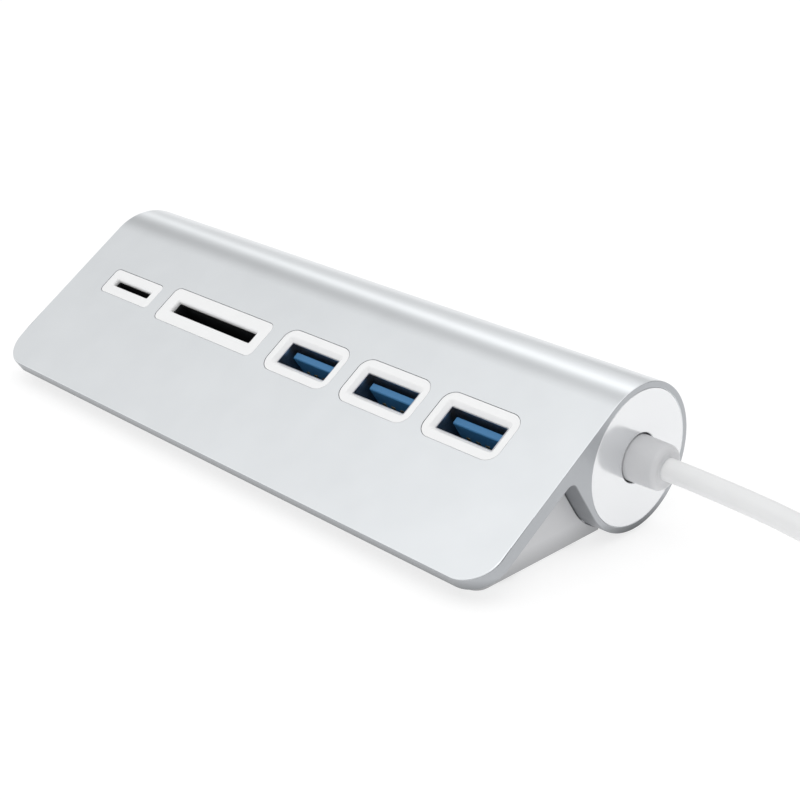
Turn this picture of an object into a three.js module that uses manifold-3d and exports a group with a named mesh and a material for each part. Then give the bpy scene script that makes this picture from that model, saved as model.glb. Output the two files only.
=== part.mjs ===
// A sloped desktop USB hub with two card slots, built as separate pieces.
// Millimetres, +X towards the cable end, -Y to the front, +Z up.
// The origin is the middle of the footprint, on the surface under the feet.
import * as THREE from 'three';
import { mergeVertices } from 'three/addons/utils/BufferGeometryUtils.js';
import Module from 'manifold-3d';

const wasm = await Module();
wasm.setup();

// ---------------------------------------------------------------- driving dimensions

const HALF_LENGTH = 68.1;
const SLOPE = THREE.MathUtils.degToRad(33.4);
const TUBE_RADIUS = 13.4;
const BORE_RADIUS = 12.25;
const PLATE_DEPTH = 37.8;
const PLATE_THICKNESS = 2.8;
const PLATE_CORNER = 6.3;
const WEB_FILLET = 1.5;
const GAP = 0.3;
const FOOT_PROUD = 0.8;

// The plate's own frame has its origin on the line where the plate meets the tube.
// There y runs up the slope and z is the plate's normal.
const ORIGIN_Y = (PLATE_DEPTH * Math.cos(SLOPE) - TUBE_RADIUS * Math.sin(SLOPE) - TUBE_RADIUS) / 2;
const ORIGIN_Z = FOOT_PROUD + TUBE_RADIUS + TUBE_RADIUS * Math.cos(SLOPE);
const TUBE_Y = ORIGIN_Y + TUBE_RADIUS * Math.sin(SLOPE);
const TUBE_Z = FOOT_PROUD + TUBE_RADIUS;

// Ports along the plate, all centred on one line.
const PORT_LINE = -12.25;
const USB_PITCH = 20.7;
const USB_FIRST_X = 4.6;
const USB_MOUTH = [13.1, 5.12];
const USB_SHELL_WALL = 0.3;
const BEZEL_GAP = 0.15;
const BEZEL_LIP = 1.0;
const BEZEL_FLARE = 0.55;
const BEZEL_FLANGE = 1.0;
const BEZEL_FLANGE_REACH = 0.75;
const USB_PORT = { bezel: [17.3, 9.8], corner: 2.5, mouth: USB_MOUTH, socket: [13.7, 5.72] };
const SD_PORT = { x: -23.2, bezel: [30.2, 8.2], corner: 1.4, mouth: [24.5, 2.55], socket: [27, 4.6] };
const MICRO_SD_PORT = { x: -50, bezel: [15.9, 6], corner: 1, mouth: [11.6, 1.4], socket: [13.6, 3.4] };

// The opening milled under the plate, through the tube's front wall, for the board and sockets.
const WINDOW = { x: [-59.2, 56], y: [-20, -6.2], z: [-18.5, -PLATE_THICKNESS] };

// Circuit board and what stands on it, in the plate's frame.
const BOARD = { x: [-57.6, 55.5], y: [-16.8, -2.5], top: -14.6, thickness: 1.2, corner: 0.8 };
const SOLDER_GAP = 0.1;
const SOCKET_TOP = -BEZEL_LIP - GAP;
const SOCKET_FOOT = BOARD.top + GAP;
const SOCKET_FLOOR = 1;
const SOCKET_CORNER = 0.4;
const SHELL_CORNER = 0.5;
const CARD_COVER = { top: -4.7, thickness: 0.3, inset: 0.5, legWidth: 1.5, legHeight: 1.5, legInset: 1 };
const TONGUE = { width: 10.7, y: [-12.05, -10.65], tip: -2.2, bevel: 0.22, blockTop: -12.4 };

// The micro SD carriage, its spring and its travel.
const CARRIAGE = { width: 10.9, thickness: 0.8, top: -8.2, height: 1 };
const CARRIAGE_HOOK = { width: 1.2, low: -1, high: 2.5 };
const SPRING = { offsetX: 4, radius: 0.4, wire: 0.08, turns: 5, stepsPerTurn: 8, sides: 6 };

// What stands on the board: places along x, and two lines along y, over and under it.
const BOARD_LINE = { over: -5.6, under: -8.6 };
const HUB_CHIP = { name: 'hub_chip', x: 15, size: [9, 9, 0.9], corner: 0.3 };
const READER_CHIP = { name: 'card_reader_chip', x: -31, size: [7, 7, 0.9], corner: 0.3 };
const REGULATOR = { name: 'voltage_regulator', x: 29, size: [6.5, 3.5, 1.6], corner: 0.2 };
const CRYSTAL = { x: -24, size: [3.2, 2.5, 0.8], corner: 0.4 };
const CAPACITOR = { places: [-5.8, 14.9, 33.5], radius: 2.5, waist: 2.25, height: 5.2, crimp: 0.2 };
const CAPACITOR_GROOVE = [0.9, 1.1, 1.3, 1.5];
const CONNECTOR = { x: 44, size: [8, 4.4, 3.6], recess: { x: [2.5, 5], y: [-1.8, 1.8], z: [0.8, 2.8] } };
const INNER_CABLE = { radius: 1.4, steps: 14 };

// Base cover.
const BASE_HALF_LENGTH = 64.1;
const BASE_FRONT = -22.2;
const BASE_CORNER = 2.5;
const BASE_WALL = 1.6;
const BASE_LIP = 0.7;
const RIB = { places: [-40, 0, 40], thickness: 1.6, y: [-16.5, -11.5] };
const BOSS_FOOT = 1;

// Feet and screws.
const FOOT = { radius: 4, x: 59.2, frontY: -13.8, rearY: 1.6, sunk: 0.3, chamfer: 0.3 };
const SCREW = { headRadius: 1.9, headHeight: 1.2, shankRadius: 1.1 };
const SCREW_SLOT = { width: 0.5, length: 2.2, depth: 0.6 };
const REAR_SCREW = { x: 61.2, y: 1.6, head: 1.7, length: 7.8, boss: 2.8 };
const FRONT_SCREW = { x: 58.9, y: -29.5, head: -7.3, length: 6, boss: 3 };

// End caps and the cable's strain relief, along X.
const CAP = { radius: 12.1, thickness: 2.2, spigotRadius: 11.9, spigotWall: 1.3, spigotDepth: 2.9 };
const BOOT_RADIUS = 4.15;
const BOOT_REACH = 6;
const BOOT_HOLE = BOOT_RADIUS + GAP;
const BOOT_FLANGE = { radius: 6, thickness: 2, tailRadius: 3 };
// The boot's rounded outer end, as [radius, distance back from the tip].
const BOOT_END = [[3.8, 0.9], [3.5, 0.25], [2.9, 0]];

// Cable, coil and plug.
const CORD_RADIUS = 2;
const CORD_SIDES = 8;
const COIL = { x: 150, y: -11.25, inner: 18, outer: 26, lift: 0.8, height: 8, steps: 40 };
const COIL_TOP = COIL.lift + COIL.height;
const TIE = { width: 6, wall: 0.8, sole: 0.5 };
const PLUG_BODY = { width: 16, length: 23, height: 8, corner: 2 };
const PLUG = { x: COIL.x + 17, rearY: COIL.y + 9.2, z: COIL_TOP + GAP + PLUG_BODY.height / 2 };
const PLUG_RELIEF = { length: 9, rearRadius: 2.7, frontRadius: 3.6, overlap: 1 };
const PLUG_SHELL = { width: 12, height: 4.5, wall: 0.3, length: 11.9 };
const PLUG_TONGUE = { thickness: 1.9, clearance: 0.15, setBack: 0.5 };

// The cable's way from its boot down to the surface, then onto the coil.
const CORD_RUN = [
  [74.4, TUBE_Y, 14.2],
  [79, TUBE_Y, 14.15],
  [84, TUBE_Y, 14.0],
  [90, TUBE_Y, 13.75],
  [96, TUBE_Y, 13.33],
  [102, TUBE_Y, 12.6],
  [108, TUBE_Y, 11.5],
  [114, TUBE_Y, 10.0],
  [120, TUBE_Y, 8.2],
  [126, TUBE_Y, 6.3],
  [131, TUBE_Y, 4.8],
  [134.9, TUBE_Y, 3.9],
];
const CORD_RUN_STEPS = 10;
const CORD_TAIL_STEPS = 4;

// The last stretch, up from the coil into the plug lying on it.
const CORD_TAIL = [
  [COIL.x + 15.5, COIL.y + 15.9, 11.4],
  [COIL.x + 16.2, COIL.y + 14.2, 12.2],
  [COIL.x + 16.9, COIL.y + 11.8, 12.9],
  [COIL.x + 17, COIL.y + 9.5, PLUG.z],
];

// Facets.
const TUBE_STEPS = 42;
const BORE_STEPS = 56;
const CORNER_STEPS = 4;
const ROUND_STEPS = 24;
const MERGE_TOLERANCE = 1e-4;

// How far a cutting tool runs past what it cuts, a little and a lot.
const OVER = 1;
const REACH = 60;

// ---------------------------------------------------------------- materials

function plain(color, roughness, metalness) {
  return new THREE.MeshStandardMaterial({ color, roughness, metalness });
}

const MATERIALS = {
  aluminium: plain(0xd6dadd, 0.35, 0.9),
  whiteGloss: plain(0xf6f7f8, 0.2, 0),
  baseGrey: plain(0xc4c5c8, 0.45, 0),
  blue: plain(0x1f5fa8, 0.45, 0),
  steel: plain(0x9a9ca0, 0.3, 1),
  black: plain(0x151618, 0.5, 0),
  board: plain(0x14512f, 0.5, 0),
  rubber: plain(0x2a2a2c, 0.85, 0),
  cable: plain(0xf1f1f2, 0.4, 0),
  tie: plain(0x1c1c1e, 0.9, 0),
  can: plain(0xb8bbc0, 0.3, 0.9),
};

// ---------------------------------------------------------------- shape helpers

function arc(centreX, centreY, radius, fromDegrees, toDegrees, steps) {
  const points = [];
  for (let i = 0; i <= steps; i += 1) {
    const angle = THREE.MathUtils.degToRad(fromDegrees + ((toDegrees - fromDegrees) * i) / steps);
    points.push([centreX + radius * Math.cos(angle), centreY + radius * Math.sin(angle)]);
  }
  return points;
}

function shapeOf(points, hole = null) {
  const shape = new THREE.Shape(points.map(([x, y]) => new THREE.Vector2(x, y)));
  if (hole) {
    shape.holes.push(new THREE.Path(hole.map(([x, y]) => new THREE.Vector2(x, y))));
  }
  return shape;
}

function circle(centreX, centreY, radius, steps) {
  return arc(centreX, centreY, radius, 0, 360, steps).slice(0, -1);
}

function roundedRectangle(centreX, centreY, width, height, corner) {
  const right = centreX + width / 2 - corner;
  const left = centreX - width / 2 + corner;
  const top = centreY + height / 2 - corner;
  const bottom = centreY - height / 2 + corner;
  return [
    ...arc(right, bottom, corner, -90, 0, CORNER_STEPS),
    ...arc(right, top, corner, 0, 90, CORNER_STEPS),
    ...arc(left, top, corner, 90, 180, CORNER_STEPS),
    ...arc(left, bottom, corner, 180, 270, CORNER_STEPS),
  ];
}

// A prism standing on the x-y plane, from z = low to z = high.
function prismUp(points, low, high, hole = null) {
  const prism = new THREE.ExtrudeGeometry(shapeOf(points, hole), {
    depth: high - low,
    steps: 1,
    bevelEnabled: false,
  });
  return prism.translate(0, 0, low);
}

// A prism along X whose outline is given as [y, z] points.
function prismAlongX(points, low, high, hole = null) {
  const turned = new THREE.Matrix4().makeBasis(
    new THREE.Vector3(0, 1, 0),
    new THREE.Vector3(0, 0, 1),
    new THREE.Vector3(1, 0, 0),
  );
  return prismUp(points, 0, high - low, hole).applyMatrix4(turned).translate(low, 0, 0);
}

function box(x, y, z) {
  const block = new THREE.BoxGeometry(x[1] - x[0], y[1] - y[0], z[1] - z[0]);
  return block.translate((x[0] + x[1]) / 2, (y[0] + y[1]) / 2, (z[0] + z[1]) / 2);
}

function centredBox(centreX, centreY, width, depth, z) {
  return box([centreX - width / 2, centreX + width / 2], [centreY - depth / 2, centreY + depth / 2], z);
}

function cylinderUp(x, y, radius, low, high) {
  const cylinder = new THREE.CylinderGeometry(radius, radius, high - low, ROUND_STEPS);
  return cylinder.rotateX(Math.PI / 2).translate(x, y, (low + high) / 2);
}

// A solid of revolution about Z; the profile is a list of [radius, height].
function turnedUp(profile, steps = ROUND_STEPS) {
  const lathe = new THREE.LatheGeometry(profile.map(([r, h]) => new THREE.Vector2(r, h)), steps);
  return lathe.rotateX(Math.PI / 2);
}

// A solid of revolution about an X line through the tube's centre; [radius, x] points.
function turnedAlongTube(profile) {
  const lathe = new THREE.LatheGeometry(profile.map(([r, x]) => new THREE.Vector2(r, x)), BORE_STEPS);
  return lathe.rotateZ(-Math.PI / 2).translate(0, TUBE_Y, TUBE_Z);
}

function tubeAlong(points, radius, sides, steps) {
  const path = new THREE.CatmullRomCurve3(points.map(([x, y, z]) => new THREE.Vector3(x, y, z)));
  return new THREE.ExtrudeGeometry(shapeOf(circle(0, 0, radius, sides)), { extrudePath: path, steps });
}

function toSolid(geometry) {
  const bare = geometry.clone();
  bare.deleteAttribute('normal');
  bare.deleteAttribute('uv');
  const merged = mergeVertices(bare, MERGE_TOLERANCE);
  return new wasm.Manifold(
    new wasm.Mesh({
      numProp: 3,
      vertProperties: new Float32Array(merged.attributes.position.array),
      triVerts: new Uint32Array(merged.index.array),
    }),
  );
}

function toGeometry(solid) {
  const mesh = solid.getMesh();
  const geometry = new THREE.BufferGeometry();
  geometry.setAttribute('position', new THREE.BufferAttribute(mesh.vertProperties, 3));
  geometry.setIndex(new THREE.BufferAttribute(mesh.triVerts, 1));
  geometry.computeVertexNormals();
  return geometry;
}

function join(first, ...others) {
  return toGeometry(others.reduce((sum, other) => sum.add(toSolid(other)), toSolid(first)));
}

function cut(first, ...tools) {
  return toGeometry(tools.reduce((rest, tool) => rest.subtract(toSolid(tool)), toSolid(first)));
}

function common(first, second) {
  return toGeometry(toSolid(first).intersect(toSolid(second)));
}

// ---------------------------------------------------------------- groups

const hub = new THREE.Group();
const sloped = new THREE.Group();
sloped.position.set(0, ORIGIN_Y, ORIGIN_Z);
sloped.rotation.x = SLOPE;
hub.add(sloped);
sloped.updateMatrix();
const LEVEL_TO_SLOPED = sloped.matrix.clone().invert();

// The level [y, z] of a point given in the plate's frame.
function levelPoint(y, z) {
  const point = new THREE.Vector3(0, y, z).applyMatrix4(sloped.matrix);
  return [point.y, point.z];
}

function addPiece(group, name, geometry, material) {
  const mesh = new THREE.Mesh(geometry, material);
  mesh.name = name;
  group.add(mesh);
  return mesh;
}

// ---------------------------------------------------------------- aluminium housing

function housingProfile() {
  const filletY = -TUBE_RADIUS - WEB_FILLET;
  const filletZ = -PLATE_THICKNESS - WEB_FILLET;
  return [
    [-PLATE_DEPTH, -PLATE_THICKNESS],
    [-PLATE_DEPTH, 0],
    ...arc(0, -TUBE_RADIUS, TUBE_RADIUS, 90, -180, TUBE_STEPS),
    ...arc(filletY, filletZ, WEB_FILLET, 0, 90, CORNER_STEPS),
  ];
}

function housingPlan() {
  const cornerX = HALF_LENGTH - PLATE_CORNER;
  const cornerY = PLATE_CORNER - PLATE_DEPTH;
  return [
    [HALF_LENGTH, REACH],
    [-HALF_LENGTH, REACH],
    ...arc(-cornerX, cornerY, PLATE_CORNER, 180, 270, 2 * CORNER_STEPS),
    ...arc(cornerX, cornerY, PLATE_CORNER, 270, 360, 2 * CORNER_STEPS),
  ];
}

function portOpening(port) {
  const [width, height] = port.bezel;
  const outline = roundedRectangle(
    port.x,
    PORT_LINE,
    width + 2 * BEZEL_GAP,
    height + 2 * BEZEL_GAP,
    port.corner + BEZEL_GAP,
  );
  return prismUp(outline, -PLATE_THICKNESS - OVER, OVER);
}

function topHousing(ports) {
  const bore = circle(0, -TUBE_RADIUS, BORE_RADIUS, BORE_STEPS);
  const extrusion = prismAlongX(housingProfile(), -HALF_LENGTH, HALF_LENGTH, bore);
  const shaped = common(extrusion, prismUp(housingPlan(), -REACH, REACH));
  const holeRadius = SCREW.shankRadius + GAP;
  const tools = [box(WINDOW.x, WINDOW.y, WINDOW.z), ...ports.map(portOpening)];
  for (const side of [-1, 1]) {
    const { x, y, head, length } = FRONT_SCREW;
    tools.push(cylinderUp(side * x, y, holeRadius, -PLATE_THICKNESS - OVER, head + length + GAP));
    const rear = cylinderUp(side * REAR_SCREW.x, REAR_SCREW.y, holeRadius, 0, TUBE_Z);
    tools.push(rear.applyMatrix4(LEVEL_TO_SLOPED));
  }
  return cut(shaped, ...tools);
}

// ---------------------------------------------------------------- base cover

// The wedge outline, a gap clear of the plate, the web and the tube.
function baseOutline() {
  const clearRadius = TUBE_RADIUS + GAP;
  const underside = -PLATE_THICKNESS - GAP;
  const lipZ = FOOT_PROUD + BASE_LIP;
  const lipY = TUBE_Y - Math.sqrt(clearRadius ** 2 - (TUBE_Z - lipZ) ** 2);
  const lipAngle = 360 + THREE.MathUtils.radToDeg(Math.atan2(lipZ - TUBE_Z, lipY - TUBE_Y));
  const webAngle = 180 + THREE.MathUtils.radToDeg(SLOPE);
  const frontSlopeY = (BASE_FRONT - ORIGIN_Y + underside * Math.sin(SLOPE)) / Math.cos(SLOPE);
  return [
    [BASE_FRONT, FOOT_PROUD],
    [lipY, FOOT_PROUD],
    ...arc(TUBE_Y, TUBE_Z, clearRadius, lipAngle, webAngle, 2 * CORNER_STEPS),
    levelPoint(-clearRadius, -PLATE_THICKNESS - WEB_FILLET),
    levelPoint(-TUBE_RADIUS - WEB_FILLET, underside),
    levelPoint(frontSlopeY, underside),
  ];
}

function baseWedge() {
  const cornerX = BASE_HALF_LENGTH - BASE_CORNER;
  const cornerY = BASE_FRONT + BASE_CORNER;
  const plan = [
    [BASE_HALF_LENGTH, REACH],
    [-BASE_HALF_LENGTH, REACH],
    ...arc(-cornerX, cornerY, BASE_CORNER, 180, 270, CORNER_STEPS),
    ...arc(cornerX, cornerY, BASE_CORNER, 270, 360, CORNER_STEPS),
  ];
  const wedge = prismAlongX(baseOutline(), -BASE_HALF_LENGTH, BASE_HALF_LENGTH);
  return common(wedge, prismUp(plan, -REACH, REACH));
}

function slopedCylinder(x, y, radius, low, high) {
  return cylinderUp(x, y, radius, low, high).applyMatrix4(sloped.matrix);
}

function boardRib(x) {
  const boardUnder = BOARD.top - BOARD.thickness - GAP;
  const low = levelPoint(RIB.y[0], boardUnder);
  const high = levelPoint(RIB.y[1], boardUnder);
  const floor = FOOT_PROUD + BASE_WALL / 2;
  const outline = [[low[0], floor], [high[0], floor], high, low];
  return prismAlongX(outline, x - RIB.thickness / 2, x + RIB.thickness / 2);
}

function footPlaces() {
  return [
    [-FOOT.x, FOOT.frontY],
    [FOOT.x, FOOT.frontY],
    [-FOOT.x, FOOT.rearY],
    [FOOT.x, FOOT.rearY],
  ];
}

function baseCover() {
  const wedge = baseWedge();
  const innerX = BASE_HALF_LENGTH - BASE_WALL;
  const hollow = box([-innerX, innerX], [BASE_FRONT + BASE_WALL, REACH], [FOOT_PROUD + BASE_WALL, REACH]);
  const solids = [...RIB.places.map(boardRib)];
  const tools = [];
  const pocket = SCREW.headRadius + GAP;
  const hole = SCREW.shankRadius + GAP;
  for (const side of [-1, 1]) {
    const rearX = side * REAR_SCREW.x;
    const rearTop = REAR_SCREW.head + SCREW.headHeight + GAP;
    solids.push(common(cylinderUp(rearX, REAR_SCREW.y, REAR_SCREW.boss, BOSS_FOOT, TUBE_Z), wedge));
    tools.push(cylinderUp(rearX, REAR_SCREW.y, pocket, -OVER, rearTop));
    tools.push(cylinderUp(rearX, REAR_SCREW.y, hole, rearTop - OVER, TUBE_Z));
    const frontX = side * FRONT_SCREW.x;
    const frontTop = FRONT_SCREW.head + SCREW.headHeight + GAP;
    solids.push(common(slopedCylinder(frontX, FRONT_SCREW.y, FRONT_SCREW.boss, -REACH, 0), wedge));
    tools.push(slopedCylinder(frontX, FRONT_SCREW.y, pocket, -REACH / 2, frontTop));
    tools.push(slopedCylinder(frontX, FRONT_SCREW.y, hole, frontTop - OVER, 0));
  }
  for (const [x, y] of footPlaces()) {
    tools.push(cylinderUp(x, y, FOOT.radius + GAP, -OVER, FOOT_PROUD + FOOT.sunk + GAP));
  }
  return cut(join(cut(wedge, hollow), ...solids), ...tools);
}

// ---------------------------------------------------------------- bezels and sockets

// A block that widens upwards at 45 degrees and ends a little above z = 0.
function flaredMouth(width, height, depth) {
  const above = GAP / 2;
  const over = depth + above;
  const block = new THREE.BoxGeometry(width, height, over);
  const places = block.attributes.position;
  for (let i = 0; i < places.count; i += 1) {
    if (places.getZ(i) > 0) {
      places.setX(i, places.getX(i) + Math.sign(places.getX(i)) * over);
      places.setY(i, places.getY(i) + Math.sign(places.getY(i)) * over);
    }
  }
  return block.translate(0, 0, above - over / 2);
}

function portBezel(port) {
  const [width, height] = port.bezel;
  const [mouthWidth, mouthHeight] = port.mouth;
  const [socketWidth, socketHeight] = port.socket;
  const under = -PLATE_THICKNESS - GAP;
  const foot = under - BEZEL_FLANGE;
  const wide = 2 * BEZEL_FLANGE_REACH;
  const collar = prismUp(roundedRectangle(0, 0, width, height, port.corner), foot, 0);
  const flange = prismUp(
    roundedRectangle(0, 0, width + wide, height + wide, port.corner + BEZEL_FLANGE_REACH),
    foot,
    under,
  );
  const through = centredBox(0, 0, mouthWidth, mouthHeight, [-BEZEL_LIP - OVER, OVER]);
  const seatDepth = [foot - OVER, -BEZEL_LIP];
  const seat = centredBox(0, 0, socketWidth + 2 * GAP, socketHeight + 2 * GAP, seatDepth);
  const mouth = flaredMouth(mouthWidth, mouthHeight, BEZEL_FLARE);
  return cut(join(collar, flange), through, seat, mouth);
}

function usbShell() {
  const outer = roundedRectangle(0, 0, ...USB_PORT.socket, SHELL_CORNER);
  const inner = roundedRectangle(0, 0, ...USB_MOUTH, SHELL_CORNER - USB_SHELL_WALL);
  return prismUp(outer, SOCKET_FOOT, SOCKET_TOP, inner);
}

// The insulator: a block that fills the shell's foot, with the bevelled tongue standing on it.
function usbTongue() {
  const [rear, front] = [TONGUE.y[1] - PORT_LINE, TONGUE.y[0] - PORT_LINE];
  const outline = [
    [rear, TONGUE.blockTop - OVER],
    [rear, TONGUE.tip],
    [front + TONGUE.bevel, TONGUE.tip],
    [front, TONGUE.tip - TONGUE.bevel],
    [front, TONGUE.blockTop - OVER],
  ];
  const tongue = prismAlongX(outline, -TONGUE.width / 2, TONGUE.width / 2);
  const [width, height] = USB_MOUTH;
  const block = centredBox(0, 0, width - 2 * GAP, height - 2 * GAP, [SOCKET_FOOT, TONGUE.blockTop]);
  return join(block, tongue);
}

function cardSocket(port) {
  const outer = prismUp(roundedRectangle(0, 0, ...port.socket, SOCKET_CORNER), SOCKET_FOOT, SOCKET_TOP);
  const slot = centredBox(0, 0, ...port.mouth, [SOCKET_FOOT + SOCKET_FLOOR, 0]);
  return cut(outer, slot);
}

// The stamped steel cover on the front of a card socket, with its two solder legs.
function cardCover(port) {
  const [width, height] = port.socket;
  const { top, thickness, inset, legWidth, legHeight, legInset } = CARD_COVER;
  const back = -height / 2 - GAP;
  const depth = [back - thickness, back];
  const half = width / 2 - inset;
  const plate = box([-half, half], depth, [SOCKET_FOOT + SOCKET_FLOOR, top]);
  const legs = [-1, 1].map((side) => {
    const middle = side * (half - legInset);
    return box([middle - legWidth / 2, middle + legWidth / 2], depth, [SOCKET_FOOT, SOCKET_FOOT + legHeight]);
  });
  return join(plate, ...legs);
}

function carriage() {
  const { width, thickness, top, height } = CARRIAGE;
  const bar = centredBox(0, 0, width, thickness, [top - height, top]);
  const hookX = (CARRIAGE_HOOK.width - width) / 2;
  const hookHeight = [top + CARRIAGE_HOOK.low, top + CARRIAGE_HOOK.high];
  const hook = centredBox(hookX, 0, CARRIAGE_HOOK.width, thickness, hookHeight);
  return join(bar, hook);
}

function carriageSpring() {
  const low = SOCKET_FOOT + SOCKET_FLOOR + GAP;
  const high = CARRIAGE.top - CARRIAGE.height - GAP;
  const count = SPRING.turns * SPRING.stepsPerTurn;
  const points = [];
  for (let i = 0; i <= count; i += 1) {
    const angle = (2 * Math.PI * i) / SPRING.stepsPerTurn;
    const height = low + ((high - low) * i) / count;
    points.push([SPRING.radius * Math.cos(angle), SPRING.radius * Math.sin(angle), height]);
  }
  return tubeAlong(points, SPRING.wire, SPRING.sides, count);
}

// ---------------------------------------------------------------- circuit board

function mainBoard() {
  const width = BOARD.x[1] - BOARD.x[0];
  const depth = BOARD.y[1] - BOARD.y[0];
  const centreX = (BOARD.x[0] + BOARD.x[1]) / 2;
  const centreY = (BOARD.y[0] + BOARD.y[1]) / 2;
  const outline = roundedRectangle(centreX, centreY, width, depth, BOARD.corner);
  return prismUp(outline, BOARD.top - BOARD.thickness, BOARD.top);
}

function packageBlock({ size: [width, depth, height], corner }) {
  return prismUp(roundedRectangle(0, 0, width, depth, corner), 0, height);
}

function capacitorCan() {
  const { radius, waist, height, crimp } = CAPACITOR;
  const [low, middleLow, middleHigh, high] = CAPACITOR_GROOVE;
  return turnedUp([
    [0, 0],
    [radius, 0],
    [radius, low],
    [waist, middleLow],
    [waist, middleHigh],
    [radius, high],
    [radius, height - crimp],
    [radius - crimp, height],
    [0, height],
  ]);
}

function wireConnector() {
  const { size: [width, depth, height], recess } = CONNECTOR;
  return cut(centredBox(0, 0, width, depth, [0, height]), box(recess.x, recess.y, recess.z));
}

function addBoardParts() {
  const topSide = BOARD.top + SOLDER_GAP;
  const underSide = BOARD.top - BOARD.thickness - SOLDER_GAP;
  addPiece(sloped, 'main_board', mainBoard(), MATERIALS.board);
  for (const chip of [HUB_CHIP, READER_CHIP, REGULATOR]) {
    const piece = addPiece(sloped, chip.name, packageBlock(chip), MATERIALS.black);
    piece.position.set(chip.x, BOARD_LINE.under, underSide - chip.size[2]);
  }
  const crystal = addPiece(sloped, 'clock_crystal', packageBlock(CRYSTAL), MATERIALS.can);
  crystal.position.set(CRYSTAL.x, BOARD_LINE.over, topSide);
  CAPACITOR.places.forEach((x, i) => {
    const can = addPiece(sloped, `power_capacitor_${i + 1}`, capacitorCan(), MATERIALS.can);
    can.position.set(x, BOARD_LINE.over, topSide);
  });
  const connector = addPiece(sloped, 'wire_connector', wireConnector(), MATERIALS.whiteGloss);
  connector.position.set(CONNECTOR.x, BOARD_LINE.over, topSide);
}

// The bundle of wires between the strain relief and the board's connector.
function innerCable() {
  const connectorMiddle = BOARD.top + SOLDER_GAP + CONNECTOR.size[2] / 2;
  const [connectorY, connectorZ] = levelPoint(BOARD_LINE.over, connectorMiddle);
  const points = [
    [HALF_LENGTH - BOOT_REACH - GAP, TUBE_Y, TUBE_Z],
    [59.5, TUBE_Y - 0.1, TUBE_Z],
    [56.5, TUBE_Y - 1.6, TUBE_Z - 0.5],
    [53, connectorY + 1.4, connectorZ + 0.5],
    [50.5, connectorY + 0.1, connectorZ],
    [48.3, connectorY, connectorZ],
  ];
  return tubeAlong(points, INNER_CABLE.radius, CORD_SIDES, INNER_CABLE.steps);
}

// ---------------------------------------------------------------- caps and strain relief

function leftEndCap() {
  const face = -HALF_LENGTH;
  const inside = face + CAP.thickness;
  const spigotInner = CAP.spigotRadius - CAP.spigotWall;
  return turnedAlongTube([
    [0, face],
    [CAP.radius, face],
    [CAP.radius, inside],
    [CAP.spigotRadius, inside],
    [CAP.spigotRadius, inside + CAP.spigotDepth],
    [spigotInner, inside + CAP.spigotDepth],
    [spigotInner, inside],
    [0, inside],
  ]);
}

function rightEndCap() {
  const face = HALF_LENGTH;
  const inside = face - CAP.thickness;
  const spigotInner = CAP.spigotRadius - CAP.spigotWall;
  return turnedAlongTube([
    [BOOT_HOLE, inside],
    [spigotInner, inside],
    [spigotInner, inside - CAP.spigotDepth],
    [CAP.spigotRadius, inside - CAP.spigotDepth],
    [CAP.spigotRadius, inside],
    [CAP.radius, inside],
    [CAP.radius, face],
    [BOOT_HOLE, face],
    [BOOT_HOLE, inside],
  ]);
}

function cableBoot() {
  const face = HALF_LENGTH;
  const flangeFace = face - CAP.thickness - GAP;
  const flangeBack = flangeFace - BOOT_FLANGE.thickness;
  const tip = face + BOOT_REACH;
  return turnedAlongTube([
    [0, face - BOOT_REACH],
    [BOOT_FLANGE.tailRadius, face - BOOT_REACH],
    [BOOT_FLANGE.tailRadius, flangeBack],
    [BOOT_FLANGE.radius, flangeBack],
    [BOOT_FLANGE.radius, flangeFace],
    [BOOT_RADIUS, flangeFace],
    [BOOT_RADIUS, face],
    ...BOOT_END.map(([radius, back]) => [radius, tip - back]),
    [0, tip],
  ]);
}

// ---------------------------------------------------------------- feet and screws

function rubberFoot() {
  const top = FOOT_PROUD + FOOT.sunk;
  return turnedUp([
    [0, 0],
    [FOOT.radius - FOOT.chamfer, 0],
    [FOOT.radius, FOOT.chamfer],
    [FOOT.radius, top],
    [0, top],
  ]);
}

// A pan-head screw with its head's crossed slots at z = 0 and its tip up.
function coverScrew(length) {
  const head = cylinderUp(0, 0, SCREW.headRadius, 0, SCREW.headHeight);
  const shank = cylinderUp(0, 0, SCREW.shankRadius, SCREW.headHeight / 2, length);
  const depth = [-OVER, SCREW_SLOT.depth];
  const slots = [
    centredBox(0, 0, SCREW_SLOT.length, SCREW_SLOT.width, depth),
    centredBox(0, 0, SCREW_SLOT.width, SCREW_SLOT.length, depth),
  ];
  return cut(join(head, shank), ...slots);
}

// ---------------------------------------------------------------- cable, coil and plug

function cordCoil() {
  return turnedUp(
    [
      [COIL.inner, COIL.lift],
      [COIL.outer, COIL.lift],
      [COIL.outer, COIL_TOP],
      [COIL.inner, COIL_TOP],
      [COIL.inner, COIL.lift],
    ],
    COIL.steps,
  ).translate(COIL.x, COIL.y, 0);
}

// A strap round the coil's section, on the side nearest the hub.
function cordTie() {
  const clear = 2 * GAP;
  const low = COIL.x - COIL.outer - clear;
  const high = COIL.x - COIL.inner + clear;
  const y = [COIL.y - TIE.width / 2, COIL.y + TIE.width / 2];
  const opening = box([low, high], [y[0] - OVER, y[1] + OVER], [TIE.sole, COIL_TOP + GAP]);
  const strap = box([low - TIE.wall, high + TIE.wall], y, [0, COIL_TOP + GAP + TIE.wall]);
  return cut(strap, opening);
}

// Where the plug's body meets its strain relief.
function plugBodyRear() {
  return PLUG.rearY - PLUG_RELIEF.length;
}

// Where the plug's shell starts, a gap in front of its body.
function plugShellStart() {
  return plugBodyRear() - PLUG_BODY.length - GAP;
}

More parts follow.
